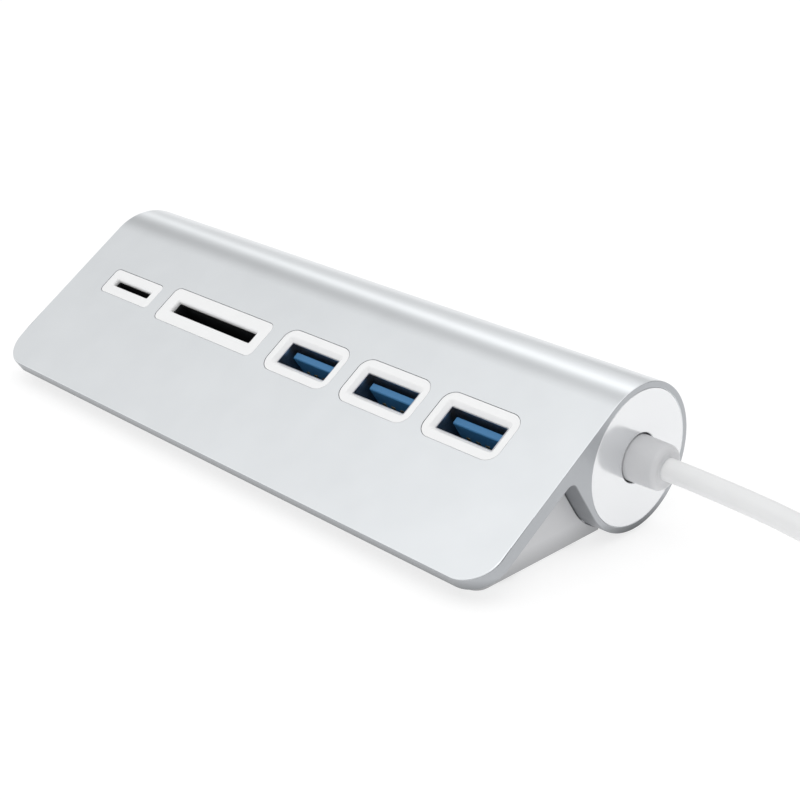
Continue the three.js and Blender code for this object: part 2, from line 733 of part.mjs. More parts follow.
function plugBody() {
  const { width, length, height, corner } = PLUG_BODY;
  const middle = plugBodyRear() - length / 2;
  const outline = roundedRectangle(0, 0, width, length, corner);
  const body = prismUp(outline, -height / 2, height / 2).translate(PLUG.x, middle, PLUG.z);
  const reliefLength = PLUG_RELIEF.length + PLUG_RELIEF.overlap;
  const { rearRadius, frontRadius } = PLUG_RELIEF;
  const relief = new THREE.CylinderGeometry(rearRadius, frontRadius, reliefLength, ROUND_STEPS);
  relief.translate(PLUG.x, PLUG.rearY - reliefLength / 2, PLUG.z);
  return join(body, relief);
}

function plugShell() {
  const { width, height, wall, length } = PLUG_SHELL;
  const outer = roundedRectangle(0, 0, width, height, SHELL_CORNER);
  const inner = roundedRectangle(0, 0, width - 2 * wall, height - 2 * wall, SHELL_CORNER - wall);
  const shell = prismUp(outer, 0, length, inner).rotateX(Math.PI / 2);
  return shell.translate(PLUG.x, plugShellStart(), PLUG.z);
}

function plugTongue() {
  const { width, height, wall, length } = PLUG_SHELL;
  const { thickness, clearance, setBack } = PLUG_TONGUE;
  const start = plugShellStart();
  const half = width / 2 - wall - GAP;
  const low = PLUG.z - height / 2 + wall + clearance;
  return box([PLUG.x - half, PLUG.x + half], [start - length + setBack, start], [low, low + thickness]);
}

// ---------------------------------------------------------------- assembly

const usbPorts = [0, 1, 2].map((i) => ({ ...USB_PORT, x: USB_FIRST_X + i * USB_PITCH }));
const ports = [MICRO_SD_PORT, SD_PORT, ...usbPorts];

addPiece(sloped, 'top_housing', topHousing(ports), MATERIALS.aluminium);
addPiece(hub, 'base_cover', baseCover(), MATERIALS.baseGrey);
addPiece(hub, 'left_end_cap', leftEndCap(), MATERIALS.whiteGloss);
addPiece(hub, 'right_end_cap', rightEndCap(), MATERIALS.whiteGloss);
addPiece(hub, 'cable_boot', cableBoot(), MATERIALS.cable);

usbPorts.forEach((port, i) => {
  const parts = [
    addPiece(sloped, `usb_bezel_${i + 1}`, portBezel(port), MATERIALS.whiteGloss),
    addPiece(sloped, `usb_shell_${i + 1}`, usbShell(), MATERIALS.steel),
    addPiece(sloped, `usb_tongue_${i + 1}`, usbTongue(), MATERIALS.blue),
  ];
  parts.forEach((part) => part.position.set(port.x, PORT_LINE, 0));
});

for (const [name, port] of [['sd', SD_PORT], ['micro_sd', MICRO_SD_PORT]]) {
  const parts = [
    addPiece(sloped, `${name}_bezel`, portBezel(port), MATERIALS.whiteGloss),
    addPiece(sloped, `${name}_socket`, cardSocket(port), MATERIALS.black),
    addPiece(sloped, `${name}_socket_cover`, cardCover(port), MATERIALS.steel),
  ];
  parts.forEach((part) => part.position.set(port.x, PORT_LINE, 0));
}

const slider = addPiece(sloped, 'micro_sd_carriage', carriage(), MATERIALS.black);
slider.position.set(MICRO_SD_PORT.x, PORT_LINE, 0);
const spring = addPiece(sloped, 'micro_sd_spring', carriageSpring(), MATERIALS.steel);
spring.position.set(MICRO_SD_PORT.x + SPRING.offsetX, PORT_LINE, 0);

addBoardParts();
addPiece(hub, 'inner_cable', innerCable(), MATERIALS.cable);

footPlaces().forEach(([x, y], i) => {
  const foot = addPiece(hub, `rubber_foot_${i + 1}`, rubberFoot(), MATERIALS.rubber);
  foot.position.set(x, y, 0);
});

[-1, 1].forEach((side, i) => {
  const front = addPiece(sloped, `cover_screw_${i + 1}`, coverScrew(FRONT_SCREW.length), MATERIALS.steel);
  front.position.set(side * FRONT_SCREW.x, FRONT_SCREW.y, FRONT_SCREW.head);
  const rear = addPiece(hub, `cover_screw_${i + 3}`, coverScrew(REAR_SCREW.length), MATERIALS.steel);
  rear.position.set(side * REAR_SCREW.x, REAR_SCREW.y, REAR_SCREW.head);
});

addPiece(hub, 'cord_run', tubeAlong(CORD_RUN, CORD_RADIUS, CORD_SIDES, CORD_RUN_STEPS), MATERIALS.cable);
addPiece(hub, 'cord_coil', cordCoil(), MATERIALS.cable);
addPiece(hub, 'cord_tail', tubeAlong(CORD_TAIL, CORD_RADIUS, CORD_SIDES, CORD_TAIL_STEPS), MATERIALS.cable);
addPiece(hub, 'cord_tie', cordTie(), MATERIALS.tie);
addPiece(hub, 'plug_body', plugBody(), MATERIALS.cable);
addPiece(hub, 'plug_shell', plugShell(), MATERIALS.steel);
addPiece(hub, 'plug_tongue', plugTongue(), MATERIALS.blue);

export default hub;
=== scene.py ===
"""Looks of a sloped desktop USB hub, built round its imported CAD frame.

+X runs to the cable end, -Y to the front and +Z up. Shapes are worked out in millimetres,
and every piece is scaled to metres when it is made.
"""
import math

import bmesh
import bpy
from mathutils import Matrix, Vector


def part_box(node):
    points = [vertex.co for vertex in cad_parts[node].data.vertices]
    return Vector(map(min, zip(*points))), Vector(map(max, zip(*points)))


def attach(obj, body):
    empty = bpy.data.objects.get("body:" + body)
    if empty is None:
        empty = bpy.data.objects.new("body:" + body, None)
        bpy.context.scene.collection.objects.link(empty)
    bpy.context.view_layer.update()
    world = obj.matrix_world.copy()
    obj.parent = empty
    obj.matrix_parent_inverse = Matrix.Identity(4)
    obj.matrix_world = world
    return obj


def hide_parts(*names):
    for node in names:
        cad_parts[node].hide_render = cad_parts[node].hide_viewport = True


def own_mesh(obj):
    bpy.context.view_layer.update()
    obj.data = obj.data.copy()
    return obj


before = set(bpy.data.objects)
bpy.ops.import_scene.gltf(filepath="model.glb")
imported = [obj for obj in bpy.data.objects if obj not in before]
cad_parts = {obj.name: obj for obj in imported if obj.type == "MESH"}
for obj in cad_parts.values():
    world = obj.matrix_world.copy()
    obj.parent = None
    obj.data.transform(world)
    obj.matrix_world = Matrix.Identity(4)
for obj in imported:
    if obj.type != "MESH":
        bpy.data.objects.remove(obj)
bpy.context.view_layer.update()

MM = 0.001
HUB = "hub"


def node_box(node):
    """A CAD node's lowest and highest corners, in millimetres."""
    low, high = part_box(node)
    return low / MM, high / MM


# ---------------------------------------------------------------- driving dimensions, mm

SLOPE = math.radians(33.4)
BORE_RADIUS = 12.25
HOUSING_EASE = 0.14
UPPER_EDGE_EASE = 0.34
CAP_CLEARANCE = 0.03
PLATE_DEPTH = 37.8
PLATE_THICKNESS = 2.8
PLATE_CORNER = 6.3
WEB_FILLET = 1.5
GAP = 0.3
FOOT_PROUD = 0.8
# How far above the base's underside the painted contact shade on the machined edges and the base fades out
# to their full tone.
CONTACT_SHADE_HEIGHT = 4.5

HALF_LENGTH = node_box("top_housing")[1].x
TUBE_RADIUS = 13.4
CAP_LOW, CAP_HIGH = node_box("left_end_cap")
TUBE = Vector((0, (CAP_LOW.y + CAP_HIGH.y) / 2, (CAP_LOW.z + CAP_HIGH.z) / 2))
PLATE_ORIGIN = TUBE + TUBE_RADIUS * Vector((0, -math.sin(SLOPE), math.cos(SLOPE)))

# The plate's own frame: y runs up the slope and z is the plate's normal.
PLATE = Matrix.Translation(PLATE_ORIGIN) @ Matrix.Rotation(SLOPE, 4, "X")
# A lathe's own z turned on to the tube's centre line.
ALONG_TUBE = Matrix.Translation(TUBE) @ Matrix.Rotation(math.radians(90), 4, "Y")

PORT_LINE = -12.25
USB_PITCH = 20.7
USB_FIRST_X = 4.6
USB_PORT = {"bezel": (17.3, 9.8), "corner": 2.5, "mouth": (13.1, 5.12), "socket": (13.7, 5.72)}
SD_PORT = {"x": -23.2, "bezel": (30.2, 8.2), "corner": 1.4, "mouth": (24.5, 2.55), "socket": (27, 4.6)}
MICRO_SD_PORT = {"x": -50, "bezel": (15.9, 6), "corner": 1, "mouth": (11.6, 1.4), "socket": (13.6, 3.4)}
USB_PORTS = [{**USB_PORT, "x": USB_FIRST_X + USB_PITCH * i} for i in range(3)]

BEZEL_GAP = 0.15
BEZEL_LIP = 1.0
CARD_FLARE = 0.6
CARD_FLARE_DEPTH = 0.7
USB_FLARE = 0.75
USB_FLARE_DEPTH = 0.78
BEZEL_FLANGE = 1.0
BEZEL_FLANGE_REACH = 0.75
BEZEL_EASE = 0.12
BEZEL_SWELL = 0.08
MOUTH_CORNER = 0.3

BOARD_TOP = -14.6
SOCKET_TOP = -BEZEL_LIP - GAP
NECK_TOP = -0.83
NECK_WALL = 0.14
NECK_CLEARANCE = 0.03
SOCKET_FOOT = BOARD_TOP + GAP
SOCKET_FLOOR = 1
SHELL_WALL = 0.3
SHELL_CORNER = 0.5
TONGUE_WIDTH = 10.7
TONGUE_REAR = -10.65 - PORT_LINE
TONGUE_FRONT = -12.05 - PORT_LINE
TONGUE_TIP = -2.2
TONGUE_BEVEL = 0.22
TONGUE_BLOCK_TOP = -12.4
WINDOW = ((-59.2, 56), (-20, -6.2), (-18.5, -PLATE_THICKNESS))

BASE_HALF_LENGTH = 64.1
BASE_FRONT = -22.2
BASE_CORNER = 2.5
BASE_WALL = 1.6
BASE_LIP = 0.7
BASE_CLEARANCE = 0.08

SCREW_HEAD_RADIUS = 1.9
SCREW_HEAD_HEIGHT = 1.2
SCREW_SHANK_RADIUS = 1.1
REAR_SCREW = {"x": 61.2, "y": 1.6, "head": 1.7, "length": 7.8}
FRONT_SCREW = {"x": 58.9, "y": -29.5, "head": -7.3, "length": 6}

CAP_THICKNESS = 2.2
CAP_EASE = 0.12
CAP_STEPS = 120

CORD_RADIUS = 2
BOOT_RADIUS = 4.15
BOOT_REACH = 6

# How far a cutting tool runs past what it cuts, a little and a lot.
OVER = 1
REACH = 80
# Points nearer to each other than this count as one.
TOUCH = 0.001
# The angle between two faces from which their edge is bevelled, and from which it is shaded sharp.
BEVELLED_FROM = math.radians(30)
SHARP_FROM = math.radians(38)

# ---------------------------------------------------------------- outlines


def arc(centre, radius, start, end, steps):
    """Points along an arc; the angles are in degrees."""
    points = []
    for i in range(steps + 1):
        angle = math.radians(start + (end - start) * i / steps)
        points.append((centre[0] + radius * math.cos(angle), centre[1] + radius * math.sin(angle)))
    return points


def circle(radius, steps=64, centre=(0, 0)):
    return arc(centre, radius, 0, 360, steps)[:-1]


def rounded_rectangle(width, height, corner, centre=(0, 0), steps=8):
    right = centre[0] + width / 2 - corner
    left = centre[0] - width / 2 + corner
    top = centre[1] + height / 2 - corner
    bottom = centre[1] - height / 2 + corner
    return [
        *arc((right, bottom), corner, -90, 0, steps),
        *arc((right, top), corner, 0, 90, steps),
        *arc((left, top), corner, 90, 180, steps),
        *arc((left, bottom), corner, 180, 270, steps),
    ]


def level(outline, height):
    return [(x, y, height) for x, y in outline]


# ---------------------------------------------------------------- solids


def loft(rings, closed=False):
    """Skins rings that have equally many points. A closed loft joins its last ring to its first."""
    solid = bmesh.new()
    rows = [[solid.verts.new(point) for point in ring] for ring in rings]
    pairs = list(zip(rows, rows[1:]))
    if closed:
        pairs.append((rows[-1], rows[0]))
    for lower, upper in pairs:
        for i, vert in enumerate(lower):
            j = (i + 1) % len(lower)
            solid.faces.new((vert, lower[j], upper[j], upper[i]))
    if not closed:
        solid.faces.new(list(reversed(rows[0])))
        solid.faces.new(rows[-1])
    bmesh.ops.recalc_face_normals(solid, faces=solid.faces)
    return solid


def prism(outline, low, high):
    return loft([level(outline, low), level(outline, high)])


def prism_along_x(outline, low, high):
    """A prism whose outline is given as (y, z) points."""
    return loft([[(x, y, z) for y, z in outline] for x in (low, high)])


def block(x, y, z):
    return prism([(x[0], y[0]), (x[1], y[0]), (x[1], y[1]), (x[0], y[1])], *z)


def centred_block(centre, width, depth, z):
    x, y = centre
    return block((x - width / 2, x + width / 2), (y - depth / 2, y + depth / 2), z)


def turned(profile, closed=False, steps=64):
    """A solid of revolution about z; the profile is a list of (radius, height)."""
    return loft([level(circle(radius, steps), height) for radius, height in profile], closed)


def moved(solid, matrix):
    solid.transform(matrix)
    return solid


def shifted(solid, x=0.0, y=0.0, z=0.0):
    return moved(solid, Matrix.Translation((x, y, z)))


def faded(distance, reach):
    """Goes from 1 down to 0, levelling out, as a distance comes to its reach."""
    return max(0.0, 1 - distance / reach) ** 2


def merged(*solids):
    """Several separate bodies in one mesh."""
    whole = bmesh.new()
    for solid in solids:
        mesh = bpy.data.meshes.new("part")
        solid.to_mesh(mesh)
        whole.from_mesh(mesh)
        bpy.data.meshes.remove(mesh)
    return whole


def eased(solid, radius, segments=3, chosen=None):
    """Rounds every chosen edge, or all of them, from BEVELLED_FROM up."""
    edges = [edge for edge in solid.edges if edge.is_manifold and edge.calc_face_angle() > BEVELLED_FROM]
    if chosen:
        edges = [edge for edge in edges if chosen(edge)]
    bmesh.ops.bevel(
        solid,
        geom=edges,
        offset=radius,
        offset_type="OFFSET",
        segments=segments,
        profile=0.5,
        affect="EDGES",
        clamp_overlap=False,
    )
    return solid


def contact_row(count, pitch, width, y, z, ease, middle=0.0):
    """Flat contacts side by side along x, with eased edges."""
    contacts = []
    for i in range(count):
        x = middle + pitch * (i - (count - 1) / 2)
        contacts.append(eased(block((x - width / 2, x + width / 2), y, z), ease, 1))
    return contacts


def helper_object(solid):
    mesh = bpy.data.meshes.new("helper")
    solid.to_mesh(mesh)
    helper = bpy.data.objects.new("helper", mesh)
    bpy.context.scene.collection.objects.link(helper)
    return helper


def combined(solid, operation, *tools):
    """The solid with each tool cut from it (DIFFERENCE), joined to it (UNION) or met (INTERSECT)."""
    base = helper_object(solid)
    helpers = [helper_object(tool) for tool in tools]
    for helper in helpers:
        step = base.modifiers.new("combine", "BOOLEAN")
        step.operation = operation
        step.solver = "EXACT"
        step.object = helper
    result = bmesh.new()
    result.from_object(base, bpy.context.evaluated_depsgraph_get())
    for used in (base, *helpers):
        mesh = used.data
        bpy.data.objects.remove(used)
        bpy.data.meshes.remove(mesh)
    bmesh.ops.remove_doubles(result, verts=result.verts, dist=TOUCH)
    bmesh.ops.dissolve_degenerate(result, edges=result.edges, dist=TOUCH)
    return result


def add_piece(name, solid, materials, replaces=(), matrix=None, body=HUB):
    """Makes a riding piece, in metres, from a solid in millimetres."""
    solid.transform(Matrix.Scale(MM, 4) @ (matrix or Matrix.Identity(4)))
    mesh = bpy.data.meshes.new(name)
    solid.to_mesh(mesh)
    solid.free()
    for material in materials if isinstance(materials, list) else [materials]:
        mesh.materials.append(material)
    mesh.shade_smooth()
    mesh.set_sharp_from_angle(angle=SHARP_FROM)
    piece = bpy.data.objects.new(name, mesh)
    bpy.context.scene.collection.objects.link(piece)
    shading = piece.modifiers.new("even_shading", "WEIGHTED_NORMAL")
    shading.keep_sharp = True
    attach(piece, body)
    if replaces:
        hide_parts(*replaces)
    return piece


# ---------------------------------------------------------------- materials

# Where nearly all of a noise's values lie.
NOISE_SPAN = (0.3, 0.7)


def new_material(name, color, roughness, metallic=0.0, **sockets):
    """A principled material; extra sockets are given by name with _ for each space."""
    material = bpy.data.materials.new(name)
    material.use_nodes = True
    shader = material.node_tree.nodes["Principled BSDF"]
    shader.inputs["Base Color"].default_value = (*color, 1)
    shader.inputs["Roughness"].default_value = roughness
    shader.inputs["Metallic"].default_value = metallic
    for key, value in sockets.items():
        shader.inputs[key.replace("_", " ")].default_value = value
    return material


def joined_nodes(material, kind, **inputs):
    """Adds a node; each input is a number, a colour or another node's output."""
    node = material.node_tree.nodes.new(kind)
    for key, value in inputs.items():
        socket = node.inputs[key.replace("_", " ")]
        if isinstance(value, bpy.types.NodeSocket):
            material.node_tree.links.new(value, socket)
        else:
            socket.default_value = value
    return node


def own_coordinates(material, stretch=(1, 1, 1)):
    place = joined_nodes(material, "ShaderNodeTexCoord")
    mapping = joined_nodes(material, "ShaderNodeMapping", Vector=place.outputs["Object"], Scale=stretch)
    return mapping.outputs["Vector"]


def noise(material, size, detail=3.0, stretch=(1, 1, 1)):
    """Noise whose features are about size millimetres across."""
    coordinates = own_coordinates(material, stretch)
    scale = 1 / (size * MM)
    node = joined_nodes(material, "ShaderNodeTexNoise", Vector=coordinates, Scale=scale, Detail=detail)
    return node.outputs["Fac"]


def add_bump(material, height, depth):
    """Bump from a height socket; depth is in millimetres."""
    bump = joined_nodes(material, "ShaderNodeBump", Height=height, Distance=depth * MM)
    shader = material.node_tree.nodes["Principled BSDF"]
    material.node_tree.links.new(bump.outputs["Normal"], shader.inputs["Normal"])


def vary(material, socket, factor, low, high):
    """Runs a shader's number from low to high while a factor goes through NOISE_SPAN."""
    spread = joined_nodes(material, "ShaderNodeMapRange", Value=factor)
    spread.inputs["From Min"].default_value, spread.inputs["From Max"].default_value = NOISE_SPAN
    spread.inputs["To Min"].default_value = low
    spread.inputs["To Max"].default_value = high
    shader = material.node_tree.nodes["Principled BSDF"]
    material.node_tree.links.new(spread.outputs["Result"], shader.inputs[socket])


def contact_shade_rise(material):
    """Goes from 0 to 1 over the height set for the painted contact shade above the base's underside; it
    masks that painted shade.
    """
    place = joined_nodes(material, "ShaderNodeTexCoord")
    split = joined_nodes(material, "ShaderNodeSeparateXYZ", Vector=place.outputs["Object"])
    spread = joined_nodes(material, "ShaderNodeMapRange", Value=split.outputs["Z"])
    spread.inputs["From Min"].default_value = FOOT_PROUD * MM
    spread.inputs["From Max"].default_value = (FOOT_PROUD + CONTACT_SHADE_HEIGHT) * MM
    return spread.outputs["Result"]


def tint(material, factor, first, second, span=NOISE_SPAN):
    """Runs the base colour from one colour to another while a factor goes through a span."""
    ramp = joined_nodes(material, "ShaderNodeValToRGB", Fac=factor)
    ramp.color_ramp.elements[0].position = span[0]
    ramp.color_ramp.elements[0].color = (*first, 1)
    ramp.color_ramp.elements[1].position = span[1]
    ramp.color_ramp.elements[1].color = (*second, 1)
    shader = material.node_tree.nodes["Principled BSDF"]
    material.node_tree.links.new(ramp.outputs["Color"], shader.inputs["Base Color"])


def anodised_aluminium():
    """Bead-blasted and clear anodised: an even satin with a very fine grain."""
    material = new_material("anodised_aluminium", (0.80, 0.825, 0.85), 0.26, 1.0)
    tint(material, noise(material, 9, 2), (0.785, 0.81, 0.83), (0.81, 0.835, 0.855))
    vary(material, "Roughness", noise(material, 0.35, 2), 0.274, 0.286)
    add_bump(material, noise(material, 0.2, 3), 0.0001)
    return material


def machined_aluminium():
    """The sawn and faced edges, with fine straight tool lines, and painted contact shade that darkens them
    toward the desk.
    """
    material = new_material("machined_aluminium", (0.43, 0.445, 0.465), 0.38, 1.0)
    # Painted shade: nearly black at the base's underside, the edges' full tone higher up.
    tint(material, contact_shade_rise(material), (0.13, 0.135, 0.14), (0.45, 0.465, 0.485), (0, 0.95))
    lines = noise(material, 0.5, 4, (1, 1, 14))
    vary(material, "Roughness", lines, 0.34, 0.44)
    add_bump(material, lines, 0.002)
    return material


def painted_shade_aluminium():
    """A dark copy of the aluminium, painted shade for the channel over the base and the underside of the
    front edge: dull and streaked along its length.
    """
    material = new_material("painted_shade_aluminium", (0.34, 0.35, 0.365), 0.5, 1.0)
    streaks = noise(material, 0.6, 4, (0.05, 1, 1))
    tint(material, streaks, (0.32, 0.33, 0.345), (0.36, 0.37, 0.385))
    vary(material, "Roughness", streaks, 0.44, 0.58)
    add_bump(material, streaks, 0.004)
    return material


def polished_cap():
    """A polished disc that mirrors the boot standing on it."""
    material = new_material("polished_cap", (0.85, 0.86, 0.875), 0.15, 0.75, Coat_Weight=0.3)
    material.node_tree.nodes["Principled BSDF"].inputs["Coat Roughness"].default_value = 0.04
    vary(material, "Roughness", noise(material, 3, 3), 0.12, 0.17)
    add_bump(material, noise(material, 2.5, 2), 0.0015)
    return material


def white_gloss():
    """Glossy white moulded plastic with the faint swell of a moulded face."""
    material = new_material("white_gloss", (0.92, 0.925, 0.93), 0.16, 0.0, Coat_Weight=0.25)
    tint(material, noise(material, 5, 2), (0.91, 0.915, 0.92), (0.93, 0.935, 0.94))
    vary(material, "Roughness", noise(material, 0.6, 3), 0.13, 0.22)
    add_bump(material, noise(material, 1.6, 2), 0.002)
    return material


def grey_plastic():
    """Light grey moulded plastic with a fine spark-eroded grain, and painted contact shade that darkens it
    toward the desk.
    """
    material = new_material("grey_plastic", (0.58, 0.585, 0.60), 0.46)
    # Painted shade: darker at the base's underside, full tone higher up.
    tint(material, contact_shade_rise(material), (0.42, 0.425, 0.435), (0.66, 0.665, 0.68), (0, 0.8))
    vary(material, "Roughness", noise(material, 0.25, 3), 0.4, 0.54)
    add_bump(material, noise(material, 0.16, 3), 0.006)
    return material


def blue_plastic():
    """The insulators' blue glass-filled nylon, with short fibres showing as flecks."""
    material = new_material("blue_plastic", (0.045, 0.205, 0.43), 0.4)
    fibres = noise(material, 0.3, 4, (1, 1, 4))
    tint(material, fibres, (0.04, 0.195, 0.41), (0.05, 0.215, 0.45))
    vary(material, "Roughness", fibres, 0.33, 0.48)
    add_bump(material, noise(material, 0.2, 3), 0.003)
    return material


def shade_darkened_steel():
    """Nickel plated socket shells, dulled, and kept darker than the bright steel as painted shade for the
    sockets' dark insides.
    """
    material = new_material("shade_darkened_steel", (0.50, 0.51, 0.54), 0.32, 1.0)
    tint(material, noise(material, 1.5, 3), (0.46, 0.47, 0.50), (0.55, 0.56, 0.59))
    vary(material, "Roughness", noise(material, 0.3, 3, (1, 1, 6)), 0.26, 0.4)
    add_bump(material, noise(material, 0.25, 3, (1, 1, 8)), 0.002)
    return material


def bright_steel():
    """Nickel-plated stamped steel with rolling lines along it."""
    material = new_material("bright_steel", (0.62, 0.62, 0.63), 0.24, 1.0)
    lines = noise(material, 0.4, 4, (8, 1, 1))
    tint(material, lines, (0.58, 0.58, 0.59), (0.66, 0.66, 0.67))
    vary(material, "Roughness", lines, 0.18, 0.32)
    add_bump(material, lines, 0.0015)
    return material


def black_plastic():
    material = new_material("black_plastic", (0.012, 0.013, 0.015), 0.48)
    tint(material, noise(material, 1.2, 3), (0.010, 0.011, 0.013), (0.017, 0.018, 0.021))
    vary(material, "Roughness", noise(material, 0.2, 3), 0.4, 0.6)
    add_bump(material, noise(material, 0.12, 3), 0.005)
    return material


def gold_contact():
    material = new_material("gold_contact", (0.80, 0.56, 0.22), 0.24, 1.0)
    tint(material, noise(material, 0.6, 3), (0.76, 0.52, 0.19), (0.84, 0.60, 0.26))
    vary(material, "Roughness", noise(material, 0.15, 2), 0.18, 0.32)
    return material


def circuit_board():
    """Green solder mask over a copper pattern, cut into squarish fields by thin lines."""
    fields_per_metre = 700.0
    material = new_material("circuit_board", (0.02, 0.13, 0.06), 0.36, 0.0, Coat_Weight=0.4)
    place = own_coordinates(material)
    cells = joined_nodes(material, "ShaderNodeTexVoronoi", Vector=place, Scale=fields_per_metre)
    cells.distance = "CHEBYCHEV"
    tint(material, cells.outputs["Distance"], (0.015, 0.10, 0.045), (0.035, 0.19, 0.085))
    add_bump(material, cells.outputs["Distance"], 0.02)
    return material


def rubber():
    material = new_material("rubber", (0.035, 0.036, 0.038), 0.82)
    tint(material, noise(material, 2, 3), (0.028, 0.029, 0.031), (0.05, 0.051, 0.053))
    vary(material, "Roughness", noise(material, 0.3, 3), 0.72, 0.92)
    add_bump(material, noise(material, 0.18, 4), 0.02)
    return material


def cable_sheath():
    """Soft white cable jacket: a dull gloss with slight extrusion waves."""
    material = new_material("cable_sheath", (0.85, 0.855, 0.86), 0.36, 0.0, Subsurface_Weight=0.12)
    material.node_tree.nodes["Principled BSDF"].inputs["Subsurface Radius"].default_value = (MM, MM, MM)
    tint(material, noise(material, 6, 2), (0.84, 0.845, 0.85), (0.86, 0.865, 0.87))
    vary(material, "Roughness", noise(material, 0.4, 3), 0.3, 0.44)
    add_bump(material, noise(material, 0.9, 3), 0.008)
    return material


def boot_rubber():
    """The cable's moulded boot: softer and greyer than the sheath, faintly grained."""
    material = new_material("boot_rubber", (0.69, 0.695, 0.71), 0.42, 0.0, Subsurface_Weight=0.1)
    material.node_tree.nodes["Principled BSDF"].inputs["Subsurface Radius"].default_value = (MM, MM, MM)
    tint(material, noise(material, 4, 2), (0.65, 0.655, 0.67), (0.67, 0.675, 0.69))
    vary(material, "Roughness", noise(material, 0.5, 3), 0.36, 0.48)
    add_bump(material, noise(material, 0.3, 3), 0.006)
    return material


def woven_strap():
    """Hook-and-loop strap: a dark weave of crossed ribs under a fuzz of loops."""
    rib_scale = 450.0
    material = new_material("woven_strap", (0.02, 0.02, 0.022), 0.9, 0.0, Sheen_Weight=0.5)
    place = own_coordinates(material)
    ribs = joined_nodes(material, "ShaderNodeTexWave", Vector=place, Scale=rib_scale)
    ribs.bands_direction = "Y"
    ribs.inputs["Distortion"].default_value = 1.5
    fuzz = noise(material, 0.2, 5)
    both = joined_nodes(material, "ShaderNodeMath")
    both.operation = "ADD"
    material.node_tree.links.new(ribs.outputs["Fac"], both.inputs[0])
    material.node_tree.links.new(fuzz, both.inputs[1])
    tint(material, fuzz, (0.012, 0.012, 0.014), (0.045, 0.045, 0.05))
    add_bump(material, both.outputs["Value"], 0.12)
    return material


MATERIALS = {
    maker.__name__: maker()
    for maker in (
        anodised_aluminium,
        machined_aluminium,
        painted_shade_aluminium,
        polished_cap,
        white_gloss,
        grey_plastic,
        blue_plastic,
        shade_darkened_steel,
        bright_steel,
        black_plastic,
        gold_contact,
        circuit_board,
        rubber,
        cable_sheath,
        boot_rubber,
        woven_strap,
    )
}

# ---------------------------------------------------------------- camera

CAMERA_PLACE = Vector((207.87, -180.66, 127.70))
CAMERA_AIM = Vector((-0.653, 0.643, -0.401))
CAMERA_LENS = 70.52
CAMERA_SENSOR = 36
CAMERA_CLIP = (0.01, 100)


def add_camera():
    data = bpy.data.cameras.new("camera")
    data.lens = CAMERA_LENS
    data.sensor_width = CAMERA_SENSOR
    data.clip_start, data.clip_end = CAMERA_CLIP
    camera = bpy.data.objects.new("camera", data)
    camera.location = CAMERA_PLACE * MM
    camera.rotation_mode = "QUATERNION"
    camera.rotation_quaternion = CAMERA_AIM.to_track_quat("-Z", "Y")
    bpy.context.scene.collection.objects.link(camera)
    bpy.context.scene.camera = camera


# ---------------------------------------------------------------- cable, coil, tie and plug

COIL_LOW, COIL_HIGH = node_box("cord_coil")
COIL = (COIL_LOW + COIL_HIGH) / 2
COIL_OUTER = (COIL_HIGH.x - COIL_LOW.x) / 2
LAYER = 2 * CORD_RADIUS
FIRST_LAYER = COIL_LOW.z + CORD_RADIUS
OUTER_TURN = COIL_OUTER - CORD_RADIUS
INNER_TURN = OUTER_TURN - LAYER
COIL_POINTS_PER_TURN = 16
COIL_END = 1097.5

# The cable's way from its boot down to the surface, as (x, height).
CORD_RUN = [
    (74.1, 14.2),
    (79, 14.15),
    (84, 14.0),
    (90, 13.75),
    (96, 13.33),
    (102, 12.6),
    (108, 11.5),
    (114, 10.0),
    (120, 8.2),
    (126, 6.3),
    (131, 4.8),
    (134.9, 3.9),
    (141, 3.0),
    (146, 2.82),
]

# From the coil up into the plug lying on it, measured from the coil's centre.
CORD_TAIL = [
    (10.0, 21.6, 7.6),
    (12.6, 19.7, 9.0),
    (14.7, 17.3, 10.7),
    (16.2, 14.5, 12.1),
    (16.9, 11.8, 12.9),
    (17.0, 9.5, 13.1),
]

# How the coil's radius and height change with the angle turned, in degrees.
COIL_STAGES = [
    (0, OUTER_TURN, FIRST_LAYER),
    (300, OUTER_TURN, FIRST_LAYER),
    (360, INNER_TURN, FIRST_LAYER),
    (600, INNER_TURN, FIRST_LAYER),
    (660, INNER_TURN, FIRST_LAYER + LAYER),
    (900, INNER_TURN, FIRST_LAYER + LAYER),
    (960, OUTER_TURN, FIRST_LAYER + LAYER),
    (COIL_END, OUTER_TURN, FIRST_LAYER + LAYER),
]


def coil_stage(turned_by):
    """The coil's radius and height at an angle, eased from one stage to the next."""
    for (start, radius, height), (end, next_radius, next_height) in zip(COIL_STAGES, COIL_STAGES[1:]):
        if turned_by <= end:
            share = (turned_by - start) / (end - start)
            share = share * share * (3 - 2 * share)
            return radius + (next_radius - radius) * share, height + (next_height - height) * share
    return COIL_STAGES[-1][1:]


def coil_points():
    count = round(COIL_END / 360 * COIL_POINTS_PER_TURN)
    points = []
    for i in range(count + 1):
        turned_by = COIL_END * i / count
        radius, height = coil_stage(turned_by)
        angle = math.radians(turned_by)
        points.append((COIL.x + radius * math.sin(angle), COIL.y + radius * math.cos(angle), height))
    return points


def cord_route():
    run = [(x, TUBE.y, height) for x, height in CORD_RUN]
    tail = [(COIL.x + x, COIL.y + y, height) for x, y, height in CORD_TAIL]
    return [*run, *coil_points(), *tail]


